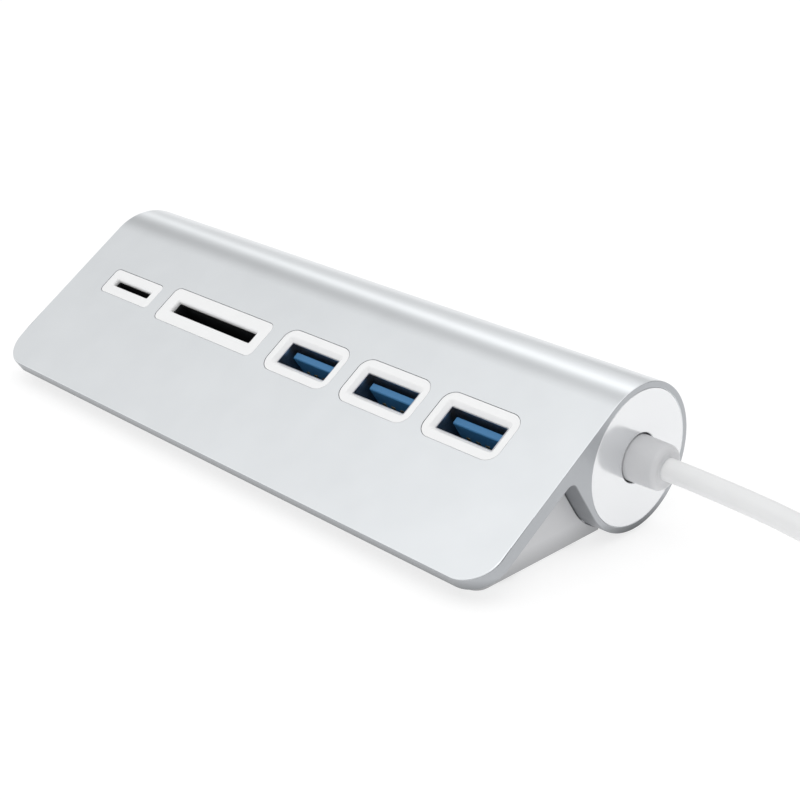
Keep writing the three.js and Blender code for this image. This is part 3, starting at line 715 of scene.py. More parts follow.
def add_cord():
    """One open smooth curve from the boot's tip to the plug's strain relief."""
    curve = bpy.data.curves.new("cable", "CURVE")
    curve.dimensions = "3D"
    curve.bevel_depth = CORD_RADIUS * MM
    curve.bevel_resolution = 7
    curve.use_fill_caps = True
    curve.resolution_u = 8
    route = cord_route()
    spline = curve.splines.new("BEZIER")
    spline.bezier_points.add(len(route) - 1)
    for point, place in zip(spline.bezier_points, route):
        point.co = Vector(place) * MM
        point.handle_left_type = "AUTO"
        point.handle_right_type = "AUTO"
    curve.materials.append(MATERIALS["cable_sheath"])
    cable = bpy.data.objects.new("cable", curve)
    bpy.context.scene.collection.objects.link(cable)
    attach(cable, HUB)
    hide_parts("cord_run", "cord_coil", "cord_tail")
    return cable


def add_tie():
    """A strap closed round the coil, its free end lapped over the top."""
    low, high = node_box("cord_tie")
    wall = 0.6
    corner = 1.6
    least_corner = 0.5
    edge = 0.15
    lap = 0.35
    lap_margin = 0.4
    lap_corner = 1.2
    lap_ease = 0.12
    sunk = 0.05
    width = high.y - low.y
    centre = ((low.x + high.x) / 2, (low.z + high.z - lap) / 2)
    span = (high.x - low.x, high.z - low.z - lap)
    half = width / 2

    def frame_ring(inset, y):
        size = (span[0] - 2 * inset, span[1] - 2 * inset)
        outline = rounded_rectangle(*size, max(corner - inset, least_corner), centre, 6)
        return [(x, y, z) for x, z in outline]

    band = loft(
        [
            frame_ring(edge, -half),
            frame_ring(0, edge - half),
            frame_ring(0, half - edge),
            frame_ring(edge, half),
            frame_ring(wall, half),
            frame_ring(wall, -half),
        ],
        closed=True,
    )
    end_outline = rounded_rectangle(span[0] - 2 * corner, width - 2 * lap_margin, lap_corner)
    end = eased(prism(end_outline, 0, lap + sunk), lap_ease, 2)
    end = shifted(end, centre[0], 0, high.z - lap - sunk)
    tie = shifted(merged(band, end), 0, (low.y + high.y) / 2, 0)
    return add_piece("cable_tie", tie, MATERIALS["woven_strap"], ["cord_tie"])


PLUG_LOW, PLUG_HIGH = node_box("plug_body")
PLUG = (PLUG_LOW + PLUG_HIGH) / 2
PLUG_RELIEF_LENGTH = 9
PLUG_BODY_REAR = PLUG_HIGH.y - PLUG_RELIEF_LENGTH
PLUG_BODY_LENGTH = PLUG_BODY_REAR - PLUG_LOW.y
PLUG_SIZE = (PLUG_HIGH.x - PLUG_LOW.x, PLUG_HIGH.z - PLUG_LOW.z)

# A lathe's or loft's own z turned to run forwards out of the plug, from its body's rear.
FORWARDS = Matrix.Rotation(math.radians(90), 4, "X")
ALONG_PLUG = Matrix.Translation((PLUG.x, PLUG_BODY_REAR, PLUG.z)) @ FORWARDS


def plug_body_solid():
    """The overmould: a slightly waisted block with finger grooves across its wide sides."""
    width, height = PLUG_SIZE
    corner = 2
    end_depth, end_reach = 0.45, 0.035
    taper_depth, taper_reach = 1.5, 0.22
    groove_start, groove_end = 0.30, 0.66
    groove_count = 5
    groove_depth = 0.22
    rings = []
    steps = 46
    for i in range(steps + 1):
        share = i / steps
        end_ease = end_depth * faded(min(share, 1 - share), end_reach)
        rear_taper = taper_depth * faded(share, taper_reach)
        groove = 0.0
        if groove_start < share < groove_end:
            phase = (share - groove_start) / (groove_end - groove_start)
            groove = groove_depth * math.sin(math.pi * groove_count * phase) ** 2
        size = (width - 2 * (end_ease + rear_taper), height - 2 * (end_ease + groove) - rear_taper)
        outline = rounded_rectangle(*size, corner - end_ease / 2)
        rings.append(level(outline, PLUG_BODY_LENGTH * share))
    return loft(rings)


def plug_relief_solid():
    """A tapered strain relief of soft rings, thinner to the rear."""
    front_radius = 3.6
    rear_radius = 2.7
    ring_count = 4
    ring_depth = 0.28
    end_depth, end_reach = 0.3, 0.05
    overlap = 1
    profile = []
    steps = 48
    for i in range(steps + 1):
        share = i / steps
        radius = rear_radius + (front_radius - rear_radius) * share
        groove = ring_depth * max(0.0, math.sin(math.pi * (2 * ring_count * share - 0.5))) ** 2
        radius = radius - groove * (1 - share * share) - end_depth * faded(share, end_reach)
        profile.append((radius, -PLUG_RELIEF_LENGTH * (1 - share)))
    profile.append((front_radius, overlap))
    return turned(profile, steps=40)


def add_plug_overmould():
    solid = merged(plug_body_solid(), plug_relief_solid())
    sheath = MATERIALS["cable_sheath"]
    return add_piece("plug_overmould", solid, sheath, ["plug_body"], ALONG_PLUG)


def add_plug_shell():
    """The folded metal shell, with its two square windows through each wide side."""
    low, high = node_box("plug_shell")
    width, height, length = high.x - low.x, high.z - low.z, high.y - low.y
    wall = 0.3
    corner = 0.5
    least_corner = 0.12
    lead = 0.15
    window_x = 2.6
    window_width = 2.2
    window_span = (4.2, 6.4)

    def shell_ring(inset, z):
        size = (width - 2 * inset, height - 2 * inset)
        return level(rounded_rectangle(*size, max(corner - inset, least_corner)), z)

    shell = loft(
        [
            shell_ring(0, 0),
            shell_ring(0, length - lead),
            shell_ring(lead, length),
            shell_ring(wall, length),
            shell_ring(wall, 0),
        ],
        closed=True,
    )
    places = [(side * window_x, 0) for side in (-1, 1)]
    windows = [centred_block(place, window_width, 2 * height, window_span) for place in places]
    shell = combined(shell, "DIFFERENCE", *windows)
    matrix = Matrix.Translation(((low.x + high.x) / 2, high.y, (low.z + high.z) / 2)) @ FORWARDS
    return add_piece("plug_metal_shell", shell, MATERIALS["bright_steel"], ["plug_shell"], matrix)


def add_plug_tongue():
    """The plug's blue insulator with its four long contacts on top."""
    low, high = node_box("plug_tongue")
    tongue_ease = 0.12
    pitch, width, ease = 2.3, 1.0, 0.04
    along = (low.y + 0.8, high.y - 0.6)
    across = (high.z - 0.05, high.z + 0.08)
    tongue = eased(block((low.x, high.x), (low.y, high.y), (low.z, high.z)), tongue_ease, 2)
    tongue = add_piece("plug_insulator", tongue, MATERIALS["blue_plastic"], ["plug_tongue"])
    contacts = merged(*contact_row(4, pitch, width, along, across, ease, PLUG.x))
    contacts = add_piece("plug_contacts", contacts, MATERIALS["gold_contact"])
    return [tongue, contacts]


def add_cable_boot():
    """The strain relief at the hub: flanged inside, rounded outside, with a dished mouth for the cable."""
    face = HALF_LENGTH
    tip = face + BOOT_REACH
    rear = face - BOOT_REACH
    tail_radius, tail_ease = 3, 0.4
    flange_radius, flange_ease = 6, 0.2
    flange_face = face - CAP_THICKNESS - GAP
    flange_rear = flange_face - 2
    straight = 0.6
    taper = 0.12
    end_round = 1.0
    # The mouth's dish, as (radius, depth under the tip).
    dish = [(2.75, 0.12), (2.45, 0.18), (2.2, 0.12), (2.05, 0), (1.7, 0)]
    profile = [
        (tail_radius - tail_ease, rear),
        (tail_radius, rear + tail_ease),
        (tail_radius, flange_rear),
        (flange_radius - flange_ease, flange_rear),
        (flange_radius, flange_rear + flange_ease),
        (flange_radius, flange_face - flange_ease),
        (flange_radius - flange_ease, flange_face),
        (BOOT_RADIUS, flange_face),
        (BOOT_RADIUS, face + straight),
        *arc((BOOT_RADIUS - taper - end_round, tip - end_round), end_round, 0, 80, 8),
        *[(radius, tip - depth) for radius, depth in dish],
    ]
    boot = turned(profile, steps=72)
    return add_piece("boot", boot, MATERIALS["boot_rubber"], ["cable_boot"], ALONG_TUBE)


# ---------------------------------------------------------------- housing


def housing_profile():
    """The extrusion's section in the plate's frame, as (y, z), run past the front edge."""
    fillet = (-TUBE_RADIUS - WEB_FILLET, -PLATE_THICKNESS - WEB_FILLET)
    return [
        (-PLATE_DEPTH - OVER, -PLATE_THICKNESS),
        (-PLATE_DEPTH - OVER, 0),
        *arc((0, -TUBE_RADIUS), TUBE_RADIUS, 90, -180, 108),
        *arc(fillet, WEB_FILLET, 0, 90, 8),
    ]


def housing_plan():
    corner_x = HALF_LENGTH - PLATE_CORNER
    corner_y = PLATE_CORNER - PLATE_DEPTH
    return [
        (HALF_LENGTH, REACH),
        (-HALF_LENGTH, REACH),
        *arc((-corner_x, corner_y), PLATE_CORNER, 180, 270, 20),
        *arc((corner_x, corner_y), PLATE_CORNER, 270, 360, 20),
    ]


def port_hole(port):
    width, height = port["bezel"]
    size = (width + 2 * BEZEL_GAP, height + 2 * BEZEL_GAP, port["corner"] + BEZEL_GAP)
    outline = rounded_rectangle(*size, (port["x"], PORT_LINE), 10)
    return prism(outline, -PLATE_THICKNESS - OVER, OVER)


def is_upper_front(edge):
    """Whether an edge of the extrusion runs along the plate's upper front rim, round both corners."""
    rear = PLATE_CORNER - PLATE_DEPTH + TOUCH
    return all(abs(vert.co.z) < TOUCH and vert.co.y < rear for vert in edge.verts)


# The extrusion's two finishes and the dark aluminium that paints shade on it.
HOUSING_LOOKS = ["anodised_aluminium", "machined_aluminium", "painted_shade_aluminium"]


def housing_look(face):
    """The name of the material that one face of the extrusion has: its finish, with painted shade on faces
    where shade falls.
    """
    centre = face.calc_center_median()
    at_front = centre.y < PLATE_CORNER + OVER - PLATE_DEPTH
    in_channel = -PLATE_DEPTH / 2 < centre.y < 0 and centre.z < -PLATE_THICKNESS
    faces_down = face.normal.z < -0.3
    faces_front = face.normal.y < -0.2
    # Painted shade: the forward faces of the channel over the base and the underside of the front edge
    # take the dark aluminium.
    if at_front and faces_down or in_channel and faces_front:
        return "painted_shade_aluminium"
    cut_face = math.hypot(face.normal.x, face.normal.y if at_front else 0) > 0.75
    if cut_face:
        return "machined_aluminium"
    return "anodised_aluminium"


def add_housing():
    """The aluminium extrusion, cut to its plan, bored, with its ports milled and its edges eased."""
    extrusion = prism_along_x(housing_profile(), -HALF_LENGTH - OVER, HALF_LENGTH + OVER)
    shaped = combined(extrusion, "INTERSECT", prism(housing_plan(), -REACH, REACH))
    bore = [[(x, y, z) for y, z in circle(BORE_RADIUS, 120, (0, -TUBE_RADIUS))] for x in (-REACH, REACH)]
    bored = combined(shaped, "DIFFERENCE", loft(bore))
    bored = eased(bored, UPPER_EDGE_EASE, 4, is_upper_front)
    bored = eased(bored, HOUSING_EASE, 3)
    tools = [block(*WINDOW), *[port_hole(port) for port in (*USB_PORTS, SD_PORT, MICRO_SD_PORT)]]
    for side in (-1, 1):
        place = (side * FRONT_SCREW["x"], FRONT_SCREW["y"])
        tools.append(prism(circle(SCREW_SHANK_RADIUS + GAP, 24, place), -PLATE_THICKNESS - OVER, -1))
    whole = combined(bored, "DIFFERENCE", *tools)
    for face in whole.faces:
        face.material_index = HOUSING_LOOKS.index(housing_look(face))
    materials = [MATERIALS[name] for name in HOUSING_LOOKS]
    return add_piece("housing", whole, materials, ["top_housing"], PLATE)


# ---------------------------------------------------------------- base cover


def level_point(y, z):
    point = PLATE @ Vector((0, y, z))
    return point.y, point.z


def base_outline():
    """The wedge under the plate, just clear of the plate, the web and the tube, as (y, z)."""
    clear = TUBE_RADIUS + BASE_CLEARANCE
    underside = -PLATE_THICKNESS - BASE_CLEARANCE
    lip_z = FOOT_PROUD + BASE_LIP
    lip_y = TUBE.y - math.sqrt(clear**2 - (TUBE.z - lip_z) ** 2)
    lip_angle = 360 + math.degrees(math.atan2(lip_z - TUBE.z, lip_y - TUBE.y))
    web_angle = 180 + math.degrees(SLOPE)
    front_y = (BASE_FRONT - PLATE_ORIGIN.y + underside * math.sin(SLOPE)) / math.cos(SLOPE)
    return [
        (BASE_FRONT, FOOT_PROUD),
        (lip_y, FOOT_PROUD),
        *arc((TUBE.y, TUBE.z), clear, lip_angle, web_angle, 24),
        level_point(-clear, -PLATE_THICKNESS - WEB_FILLET),
        level_point(-TUBE_RADIUS - WEB_FILLET, underside),
        level_point(front_y, underside),
    ]


def foot_places():
    return [node_box(f"rubber_foot_{i + 1}") for i in range(4)]


def add_base_cover():
    ease = 0.22
    boss_width = 5.6
    boss_span = (1, 4.4)
    corner_x = BASE_HALF_LENGTH - BASE_CORNER
    corner_y = BASE_FRONT + BASE_CORNER
    plan = [
        (BASE_HALF_LENGTH, REACH),
        (-BASE_HALF_LENGTH, REACH),
        *arc((-corner_x, corner_y), BASE_CORNER, 180, 270, 10),
        *arc((corner_x, corner_y), BASE_CORNER, 270, 360, 10),
    ]
    wedge = prism_along_x(base_outline(), -HALF_LENGTH, HALF_LENGTH)
    wedge = combined(wedge, "INTERSECT", prism(plan, -REACH, REACH))
    wedge = eased(wedge, ease, 3)
    inner_x = BASE_HALF_LENGTH - BASE_WALL
    hollow = block((-inner_x, inner_x), (BASE_FRONT + BASE_WALL, REACH), (FOOT_PROUD + BASE_WALL, REACH))
    tools = [hollow]
    pocket = SCREW_HEAD_RADIUS + GAP
    for low, high in foot_places():
        centre = ((low.x + high.x) / 2, (low.y + high.y) / 2)
        radius = (high.x - low.x) / 2 + GAP
        tools.append(prism(circle(radius, 48, centre), -OVER, high.z + GAP))
    cover = combined(wedge, "DIFFERENCE", *tools)
    bosses = []
    holes = []
    for side in (-1, 1):
        place = (side * REAR_SCREW["x"], REAR_SCREW["y"])
        roof = REAR_SCREW["head"] + SCREW_HEAD_HEIGHT + GAP
        bosses.append(centred_block(place, boss_width, boss_width, boss_span))
        holes.append(prism(circle(pocket, 40, place), -OVER, roof))
        place = (side * FRONT_SCREW["x"], FRONT_SCREW["y"])
        roof = FRONT_SCREW["head"] + SCREW_HEAD_HEIGHT + GAP
        holes.append(moved(prism(circle(pocket, 40, place), -REACH / 2, roof), PLATE))
    cover = combined(cover, "UNION", *bosses)
    cover = combined(cover, "DIFFERENCE", *holes)
    return add_piece("base_shell", cover, MATERIALS["grey_plastic"], ["base_cover"])


# ---------------------------------------------------------------- bezels and sockets


def port_matrix(port):
    return PLATE @ Matrix.Translation((port["x"], PORT_LINE, 0))


def card_flare():
    """A card slot's rounded lead-in, as (how much wider than the mouth, z)."""
    quarter = arc((0, 0), 1, 0, 90, 6)
    return [(CARD_FLARE * (1 - y), CARD_FLARE_DEPTH * (x - 1)) for x, y in quarter]


def usb_flare():
    """A USB mouth's chamfer, softened where it leaves the collar's face."""
    soft = 0.08
    return [(USB_FLARE + 2 * soft, 0), (USB_FLARE - soft, -soft), (0, -USB_FLARE_DEPTH)]


def add_bezel(name, node, port, flare):
    """A glossy collar with a rounded rim, a flared mouth and a hidden flange under the plate."""
    width, height = port["bezel"]
    mouth_width, mouth_height = port["mouth"]
    seat = [size + 2 * GAP for size in port["socket"]]
    corner = port["corner"]
    under = -PLATE_THICKNESS - GAP
    foot = under - BEZEL_FLANGE
    reach = BEZEL_FLANGE_REACH

    def rim(grow, z):
        return level(rounded_rectangle(width + 2 * grow, height + 2 * grow, corner + grow, steps=10), z)

    def mouth(grow, z):
        size = (mouth_width + 2 * grow, mouth_height + 2 * grow)
        return level(rounded_rectangle(*size, MOUTH_CORNER + grow / 2, steps=10), z)

    ease = BEZEL_SWELL - BEZEL_EASE
    rounding = [rim(ease + r, z - BEZEL_EASE) for r, z in arc((0, 0), BEZEL_EASE, 0, 90, 4)]
    rings = [
        rim(reach, foot),
        rim(reach, under),
        rim(BEZEL_SWELL, under),
        *rounding,
        *[mouth(grow, z) for grow, z in flare],
        mouth(0, -BEZEL_LIP),
        level(rounded_rectangle(*seat, SHELL_CORNER, steps=10), -BEZEL_LIP),
        level(rounded_rectangle(*seat, SHELL_CORNER, steps=10), foot),
    ]
    material = MATERIALS["white_gloss"]
    return add_piece(name, loft(rings, True), material, [node], port_matrix(port))


def leaf_spring(x, side):
    """A contact leaf pressed out of the shell's wide wall on one side (-1 or 1), bowed to the tongue."""
    half_width = 0.8
    wall = USB_PORT["mouth"][1] / 2
    steps = 10
    low, high = -9.5, -3.6
    bow = 0.38
    thickness = 0.2
    rings = []
    for i in range(steps + 1):
        share = i / steps
        inward = bow * math.sin(math.pi * share) ** 2
        y = side * (wall - inward)
        back = y + side * thickness
        z = low + (high - low) * share
        left = x - half_width
        right = x + half_width
        rings.append([(left, y, z), (right, y, z), (right, back, z), (left, back, z)])
    return loft(rings)


def add_usb_shell(index, port):
    """The socket's metal shell: a folded tube, necked into the bezel's mouth, with four contact leaves."""
    width, height = port["socket"]
    neck = (width - port["mouth"][0]) / 2 + NECK_CLEARANCE
    neck_inside = neck + NECK_WALL
    throat_corner = MOUTH_CORNER / 2
    inner_corner = SHELL_CORNER - SHELL_WALL
    ease = 0.08
    neck_ease = 0.04
    shoulder = 0.2
    leaf_x = 3.3

    def ring(inset, z, corner):
        size = (width - 2 * inset, height - 2 * inset)
        return level(rounded_rectangle(*size, corner, steps=6), z)

    tube = loft(
        [
            ring(0, SOCKET_FOOT, SHELL_CORNER),
            ring(0, SOCKET_TOP - ease, SHELL_CORNER),
            ring(ease, SOCKET_TOP, SHELL_CORNER),
            ring(neck, SOCKET_TOP, MOUTH_CORNER),
            ring(neck, NECK_TOP - neck_ease, MOUTH_CORNER),
            ring(neck + neck_ease, NECK_TOP, MOUTH_CORNER),
            ring(neck_inside, NECK_TOP, throat_corner),
            ring(neck_inside, SOCKET_TOP, throat_corner),
            ring(SHELL_WALL, SOCKET_TOP - shoulder, inner_corner),
            ring(SHELL_WALL, SOCKET_FOOT, inner_corner),
        ],
        closed=True,
    )
    leaves = [leaf_spring(x, side) for x in (-leaf_x, leaf_x) for side in (-1, 1)]
    shell = merged(tube, *leaves)
    name = f"usb_socket_{index}"
    node = f"usb_shell_{index}"
    add_piece(name, shell, MATERIALS["shade_darkened_steel"], [node], port_matrix(port))


def add_usb_tongue(index, port):
    """The insulator: a bevelled tongue on its block, with contacts let into the front face."""
    outline = [
        (TONGUE_REAR, SOCKET_FOOT),
        (TONGUE_REAR, TONGUE_TIP),
        (TONGUE_FRONT + TONGUE_BEVEL, TONGUE_TIP),
        (TONGUE_FRONT, TONGUE_TIP - TONGUE_BEVEL),
        (TONGUE_FRONT, SOCKET_FOOT),
    ]
    tongue_ease = 0.1
    contact_ease = 0.03
    long_y = (TONGUE_FRONT - 0.06, TONGUE_FRONT + 0.1)
    short_y = (TONGUE_REAR - 0.1, TONGUE_REAR + 0.05)
    tongue = eased(prism_along_x(outline, -TONGUE_WIDTH / 2, TONGUE_WIDTH / 2), tongue_ease, 2)
    width, height = port["mouth"]
    foot = centred_block((0, 0), width - 2 * GAP, height - 2 * GAP, (SOCKET_FOOT, TONGUE_BLOCK_TOP))
    whole = combined(tongue, "UNION", foot)
    node = f"usb_tongue_{index}"
    matrix = port_matrix(port)
    add_piece(f"usb_insulator_{index}", whole, MATERIALS["blue_plastic"], [node], matrix)
    long_row = contact_row(count=4, pitch=2.25, width=1.0, y=long_y, z=(-11, -5.6), ease=contact_ease)
    short_row = contact_row(count=5, pitch=1.9, width=0.6, y=short_y, z=(-6.4, -4.2), ease=contact_ease)
    contacts = merged(*long_row, *short_row)
    add_piece(f"usb_contacts_{index}", contacts, MATERIALS["gold_contact"], (), matrix)


def add_card_socket(name, port, contact_count, contact_pitch):
    """A black moulded card socket with its slot and a row of contact fingers inside."""
    width, height = port["socket"]
    slot_width, slot_height = port["mouth"]
    floor = SOCKET_FOOT + SOCKET_FLOOR
    ease = 0.15
    lead = 0.3
    side_corner, end_corner, lead_corner, slot_corner = 0.4, 0.3, 0.35, 0.2
    sides = (width, height)
    end = (width - 2 * ease, height - 2 * ease)
    slot = (slot_width, slot_height)
    lead_in = (slot_width + lead, slot_height + lead)

    def ring(size, corner, z):
        return level(rounded_rectangle(*size, corner, steps=6), z)

    body = loft(
        [
            ring(end, end_corner, SOCKET_FOOT),
            ring(sides, side_corner, SOCKET_FOOT + ease),
            ring(sides, side_corner, SOCKET_TOP - ease),
            ring(end, end_corner, SOCKET_TOP),
            ring(lead_in, lead_corner, SOCKET_TOP),
            ring(slot, slot_corner, SOCKET_TOP - lead),
            ring(slot, slot_corner, floor),
        ]
    )
    matrix = port_matrix(port)
    material = MATERIALS["black_plastic"]
    add_piece(f"{name}_slot_body", body, material, [f"{name}_socket"], matrix)
    wall = slot_height / 2
    across = (wall - 0.1, wall + 0.05)
    along = (floor + 1.2, floor + 4.4)
    contacts = contact_row(contact_count, contact_pitch, width=0.7, y=across, z=along, ease=0.03)
    add_piece(f"{name}_contacts", merged(*contacts), MATERIALS["gold_contact"], (), matrix)


# ---------------------------------------------------------------- end caps, feet and screws


def cap_profile(inner_radius):
    """A disc with an eased rim and the spigot behind it; heights run out from the tube's end face."""
    radius = BORE_RADIUS - CAP_CLEARANCE
    spigot = 11.9
    spigot_wall = 1.3
    spigot_depth = 2.9
    return [
        (inner_radius, -CAP_THICKNESS),
        (spigot - spigot_wall, -CAP_THICKNESS),
        (spigot - spigot_wall, -CAP_THICKNESS - spigot_depth),
        (spigot, -CAP_THICKNESS - spigot_depth),
        (spigot, -CAP_THICKNESS),
        (radius, -CAP_THICKNESS),
        *arc((radius - CAP_EASE, -CAP_EASE), CAP_EASE, 0, 90, 5),
    ]


def add_left_cap():
    middle = 0.01
    profile = [*cap_profile(middle), (middle, 0)]
    cap = turned(profile, steps=CAP_STEPS)
    matrix = ALONG_TUBE @ Matrix.Translation((0, 0, -HALF_LENGTH)) @ Matrix.Rotation(math.pi, 4, "X")
    add_piece("left_cap_disc", cap, MATERIALS["polished_cap"], ["left_end_cap"], matrix)


def add_right_cap():
    hole = BOOT_RADIUS + GAP
    profile = [*cap_profile(hole), (hole + CAP_EASE, 0), (hole, -CAP_EASE)]
    cap = turned(profile, closed=True, steps=CAP_STEPS)
    matrix = ALONG_TUBE @ Matrix.Translation((0, 0, HALF_LENGTH))
    add_piece("right_cap_disc", cap, MATERIALS["polished_cap"], ["right_end_cap"], matrix)


def add_feet():
    ease = 0.3
    top_ease = 0.1
    sole_inset = 1.2
    for i, (low, high) in enumerate(foot_places()):
        radius = (high.x - low.x) / 2
        height = high.z
        bottom = [(radius - ease + r, ease - up) for r, up in arc((0, 0), ease, 90, 0, 5)]
        top = [(radius, height - top_ease), (radius - top_ease, height)]
        foot = turned([(radius - sole_inset, 0.0), *bottom, *top])
        matrix = Matrix.Translation(((low.x + high.x) / 2, (low.y + high.y) / 2, 0))
        node = f"rubber_foot_{i + 1}"
        add_piece(f"foot_pad_{i + 1}", foot, MATERIALS["rubber"], [node], matrix)


def screw_solid(length):
    """A pan-head screw, head down at z = 0, with a crossed recess and a ridged shank."""
    # The head's crown, as (radius, height).
    head = [
        (0.9, 0),
        (1.35, 0.06),
        (1.7, 0.22),
        (SCREW_HEAD_RADIUS, 0.5),
        (SCREW_HEAD_RADIUS, SCREW_HEAD_HEIGHT),
    ]
    core = SCREW_SHANK_RADIUS - 0.25
    pitch = 0.8
    plain_length = 0.8
    first_ridge = 0.2
    tip_length, tip_radius = 0.5, 0.3
    recess_length, recess_width = 2.2, 0.5
    recess_span = (-OVER, 0.7)
    thread = []
    count = int((length - SCREW_HEAD_HEIGHT - plain_length) / pitch)
    for i in range(count):
        start = SCREW_HEAD_HEIGHT + first_ridge + i * pitch
        thread.append((core, start))
        thread.append((SCREW_SHANK_RADIUS, start + pitch / 2))
    tip = [(core, length - tip_length), (tip_radius, length)]
    screw = turned([*head, *thread, *tip], steps=36)
    sizes = [(recess_length, recess_width), (recess_width, recess_length)]
    bars = [centred_block((0, 0), *size, recess_span) for size in sizes]
    return combined(screw, "DIFFERENCE", *bars)


def add_screws():
    steel = MATERIALS["bright_steel"]
    for i, side in enumerate((-1, 1)):
        place = (side * FRONT_SCREW["x"], FRONT_SCREW["y"], FRONT_SCREW["head"])
        front = screw_solid(FRONT_SCREW["length"])
        matrix = PLATE @ Matrix.Translation(place)
        add_piece(f"front_screw_{i + 1}", front, steel, [f"cover_screw_{i + 1}"], matrix)
        place = (side * REAR_SCREW["x"], REAR_SCREW["y"], REAR_SCREW["head"])
        rear = screw_solid(REAR_SCREW["length"])
        matrix = Matrix.Translation(place)
        add_piece(f"rear_screw_{i + 1}", rear, steel, [f"cover_screw_{i + 3}"], matrix)


# ---------------------------------------------------------------- carried-over CAD nodes


CAD_LOOKS = {
    "main_board": "circuit_board",
    "hub_chip": "black_plastic",
    "card_reader_chip": "black_plastic",
    "voltage_regulator": "black_plastic",
    "clock_crystal": "bright_steel",
    "power_capacitor_1": "bright_steel",
    "power_capacitor_2": "bright_steel",
    "power_capacitor_3": "bright_steel",
    "wire_connector": "white_gloss",
    "inner_cable": "cable_sheath",
    "sd_socket_cover": "bright_steel",
    "micro_sd_socket_cover": "bright_steel",
    "micro_sd_carriage": "black_plastic",
}


def dress_cad_nodes():
    """Gives the inner pieces that stay as they are a finish and eased edges."""
    ease_width = 0.06
    ease_from = math.radians(40)
    for node, look in CAD_LOOKS.items():
        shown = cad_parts[node]
        shown.data.materials.clear()
        shown.data.materials.append(MATERIALS[look])
        ease = shown.modifiers.new("eased_edges", "BEVEL")
        ease.width = ease_width * MM
        ease.segments = 2
        ease.limit_method = "ANGLE"
        ease.angle_limit = ease_from


def add_carriage_spring():
    """The carriage's coil spring, which shortens as a card is pushed in."""
    low_end = SOCKET_FOOT + SOCKET_FLOOR + GAP
    high_end = -9.5
    beside_middle = 4
    radius, wire, turns, steps, sides = 0.4, 0.08, 5, 24, 8
    count = turns * steps
    rings = []
    for i in range(count + 1):
        angle = math.tau * i / steps
        height = low_end + (high_end - low_end) * i / count
        ring = []
        for k in range(sides):
            around = math.tau * k / sides
            reach = radius + wire * math.cos(around)
            z = height + wire * math.sin(around)
            ring.append((reach * math.cos(angle), reach * math.sin(angle), z))
        rings.append(ring)
    matrix = PLATE @ Matrix.Translation((MICRO_SD_PORT["x"] + beside_middle, PORT_LINE, 0))
    steel = MATERIALS["bright_steel"]
    spring = add_piece("carriage_spring", loft(rings), steel, ["micro_sd_spring"], matrix)
    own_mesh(spring)


# ---------------------------------------------------------------- floor and light


# In metres. The floor lies a hair under the feet, so that no two faces share one place.
FLOOR_HEIGHT = -0.00002
FLOOR_HALF = 20
FLOOR_COLOR = (0.38, 0.38, 0.38)
FLOOR_GLOW = 0.7


def add_floor():
    half = FLOOR_HALF
    mesh = bpy.data.meshes.new("floor")
    corners = [(-half, -half), (half, -half), (half, half), (-half, half)]
    mesh.from_pydata([(x, y, FLOOR_HEIGHT) for x, y in corners], [], [(0, 1, 2, 3)])
    pale = new_material("pale_floor", FLOOR_COLOR, 1.0)
    shader = pale.node_tree.nodes["Principled BSDF"]
    shader.inputs["Specular IOR Level"].default_value = 0
    shader.inputs["Emission Color"].default_value = (1, 1, 1, 1)
    shader.inputs["Emission Strength"].default_value = FLOOR_GLOW
    mesh.materials.append(pale)
    floor = bpy.data.objects.new("floor", mesh)
    bpy.context.scene.collection.objects.link(floor)


# How bright the studio is towards each direction's x (left to right), y (front to back) and z (up).
STUDIO_STRENGTH = 1.5
STUDIO_BY_X = [
    (-1, 0.63),
    (-0.8, 0.65),
    (-0.67, 0.69),
    (-0.55, 0.80),
    (-0.44, 0.84),
    (-0.2, 0.62),
    (0.3, 0.54),
    (1, 0.32),
]
STUDIO_BY_Y = [
    (-1, 0.45),
    (-0.85, 0.75),
    (-0.7, 1.15),
    (-0.5, 1.0),
    (-0.3, 0.95),
    (-0.2, 0.91),
    (-0.13, 0.89),
    (-0.05, 0.79),
    (0.05, 0.78),
    (0.19, 0.53),
    (0.30, 0.53),
    (0.40, 0.78),
    (0.50, 1.42),
    (0.60, 0.92),
    (0.74, 0.84),
    (0.86, 0.52),
    (1, 0.42),
]
# A plain pale band stands at the horizon, between these two values of z.
HORIZON = (0.07, 0.13)
HORIZON_COLOR = (0.7, 0.7, 0.7, 1)
STUDIO_BY_Z = [(-1, 0.82), (0.15, 0.84), (0.25, 0.78), (0.38, 0.78), (0.55, 1.0), (1, 1.0)]


def direction_ramp(tree, output, stops):
    """A brightness ramp over one axis of the direction looked in, from -1 to 1."""
    spread = tree.nodes.new("ShaderNodeMapRange")
    spread.inputs["From Min"].default_value = -1
    ramp = tree.nodes.new("ShaderNodeValToRGB")
    ramp.color_ramp.interpolation = "EASE"
    tree.links.new(output, spread.inputs["Value"])
    tree.links.new(spread.outputs["Result"], ramp.inputs["Fac"])
    elements = ramp.color_ramp.elements
    while len(elements) < len(stops):
        elements.new(0.5)
    for element, (place, bright) in zip(elements, stops):
        element.position = (place + 1) / 2
        element.color = (bright, bright, bright, 1)
    return ramp.outputs["Color"]


def told_apart(sockets, identifier):
    """One of a mix node's sockets, which share their names and differ in identifier."""
    return next(socket for socket in sockets if socket.identifier == identifier)


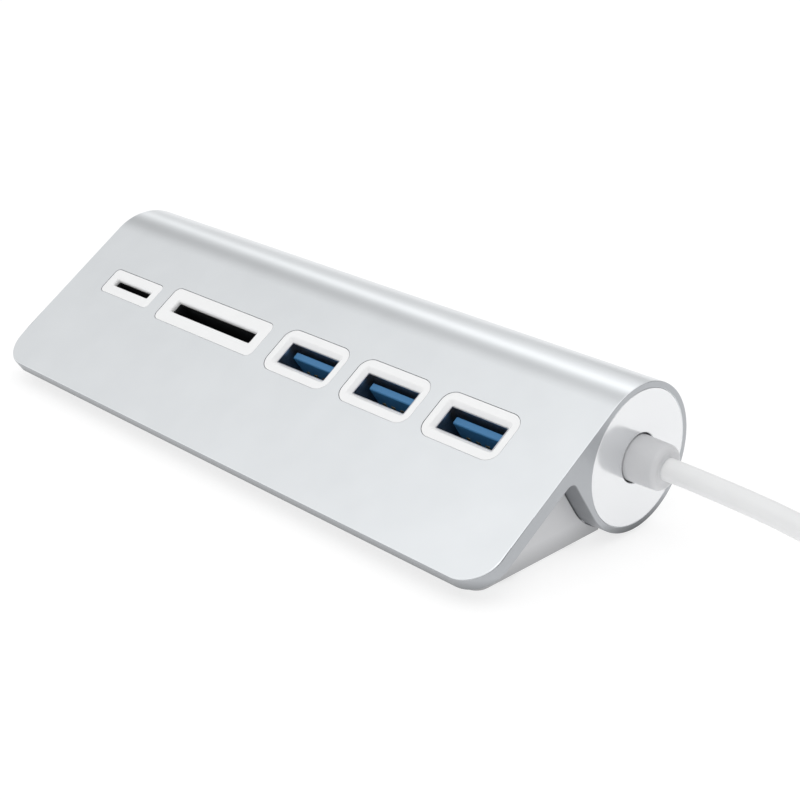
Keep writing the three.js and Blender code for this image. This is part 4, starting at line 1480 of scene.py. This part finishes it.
def add_world():
    world = bpy.data.worlds.new("studio")
    bpy.context.scene.world = world
    world.use_nodes = True
    tree = world.node_tree
    place = tree.nodes.new("ShaderNodeTexCoord")
    split = tree.nodes.new("ShaderNodeSeparateXYZ")
    tree.links.new(place.outputs["Generated"], split.inputs["Vector"])
    ramps = [
        direction_ramp(tree, split.outputs["X"], STUDIO_BY_X),
        direction_ramp(tree, split.outputs["Y"], STUDIO_BY_Y),
        direction_ramp(tree, split.outputs["Z"], STUDIO_BY_Z),
    ]
    product = ramps[0]
    for ramp in ramps[1:]:
        step = tree.nodes.new("ShaderNodeVectorMath")
        step.operation = "MULTIPLY"
        tree.links.new(product, step.inputs[0])
        tree.links.new(ramp, step.inputs[1])
        product = step.outputs["Vector"]
    above = tree.nodes.new("ShaderNodeMapRange")
    above.inputs["From Min"].default_value, above.inputs["From Max"].default_value = HORIZON
    tree.links.new(split.outputs["Z"], above.inputs["Value"])
    pale = tree.nodes.new("ShaderNodeMix")
    pale.data_type = "RGBA"
    told_apart(pale.inputs, "A_Color").default_value = HORIZON_COLOR
    tree.links.new(above.outputs["Result"], told_apart(pale.inputs, "Factor_Float"))
    tree.links.new(product, told_apart(pale.inputs, "B_Color"))
    background = tree.nodes["Background"]
    background.inputs["Strength"].default_value = STUDIO_STRENGTH
    tree.links.new(told_apart(pale.outputs, "Result_Color"), background.inputs["Color"])


# In metres and watts.
LIGHT_PLACE = Vector((0.5, -0.1, 1.4))
LIGHT_WIDTH = 1.8
LIGHT_POWER = 7


def add_light():
    """A large square area light overhead, aimed at the part."""
    data = bpy.data.lights.new("overhead_box", "AREA")
    data.shape = "SQUARE"
    data.energy = LIGHT_POWER
    data.size = LIGHT_WIDTH
    light = bpy.data.objects.new("overhead_box", data)
    light.location = LIGHT_PLACE
    light.rotation_mode = "QUATERNION"
    light.rotation_quaternion = (-LIGHT_PLACE).to_track_quat("-Z", "Y")
    bpy.context.scene.collection.objects.link(light)


# ---------------------------------------------------------------- the whole scene


def build():
    add_camera()
    cable = add_cord()
    tie = add_tie()
    plug = add_plug_overmould()
    boot = add_cable_boot()
    add_plug_shell()
    add_plug_tongue()
    add_housing()
    add_base_cover()
    add_left_cap()
    add_right_cap()
    for i, port in enumerate(USB_PORTS, 1):
        add_bezel(f"usb_rim_{i}", f"usb_bezel_{i}", port, usb_flare())
        add_usb_shell(i, port)
        add_usb_tongue(i, port)
    add_bezel("sd_rim", "sd_bezel", SD_PORT, card_flare())
    add_card_socket("sd", SD_PORT, 9, 2.5)
    add_bezel("micro_sd_rim", "micro_sd_bezel", MICRO_SD_PORT, card_flare())
    add_card_socket("micro_sd", MICRO_SD_PORT, 8, 1.1)
    add_carriage_spring()
    add_feet()
    add_screws()
    dress_cad_nodes()
    add_floor()
    add_world()
    add_light()
    bpy.context.scene.view_settings.view_transform = "Standard"


build()
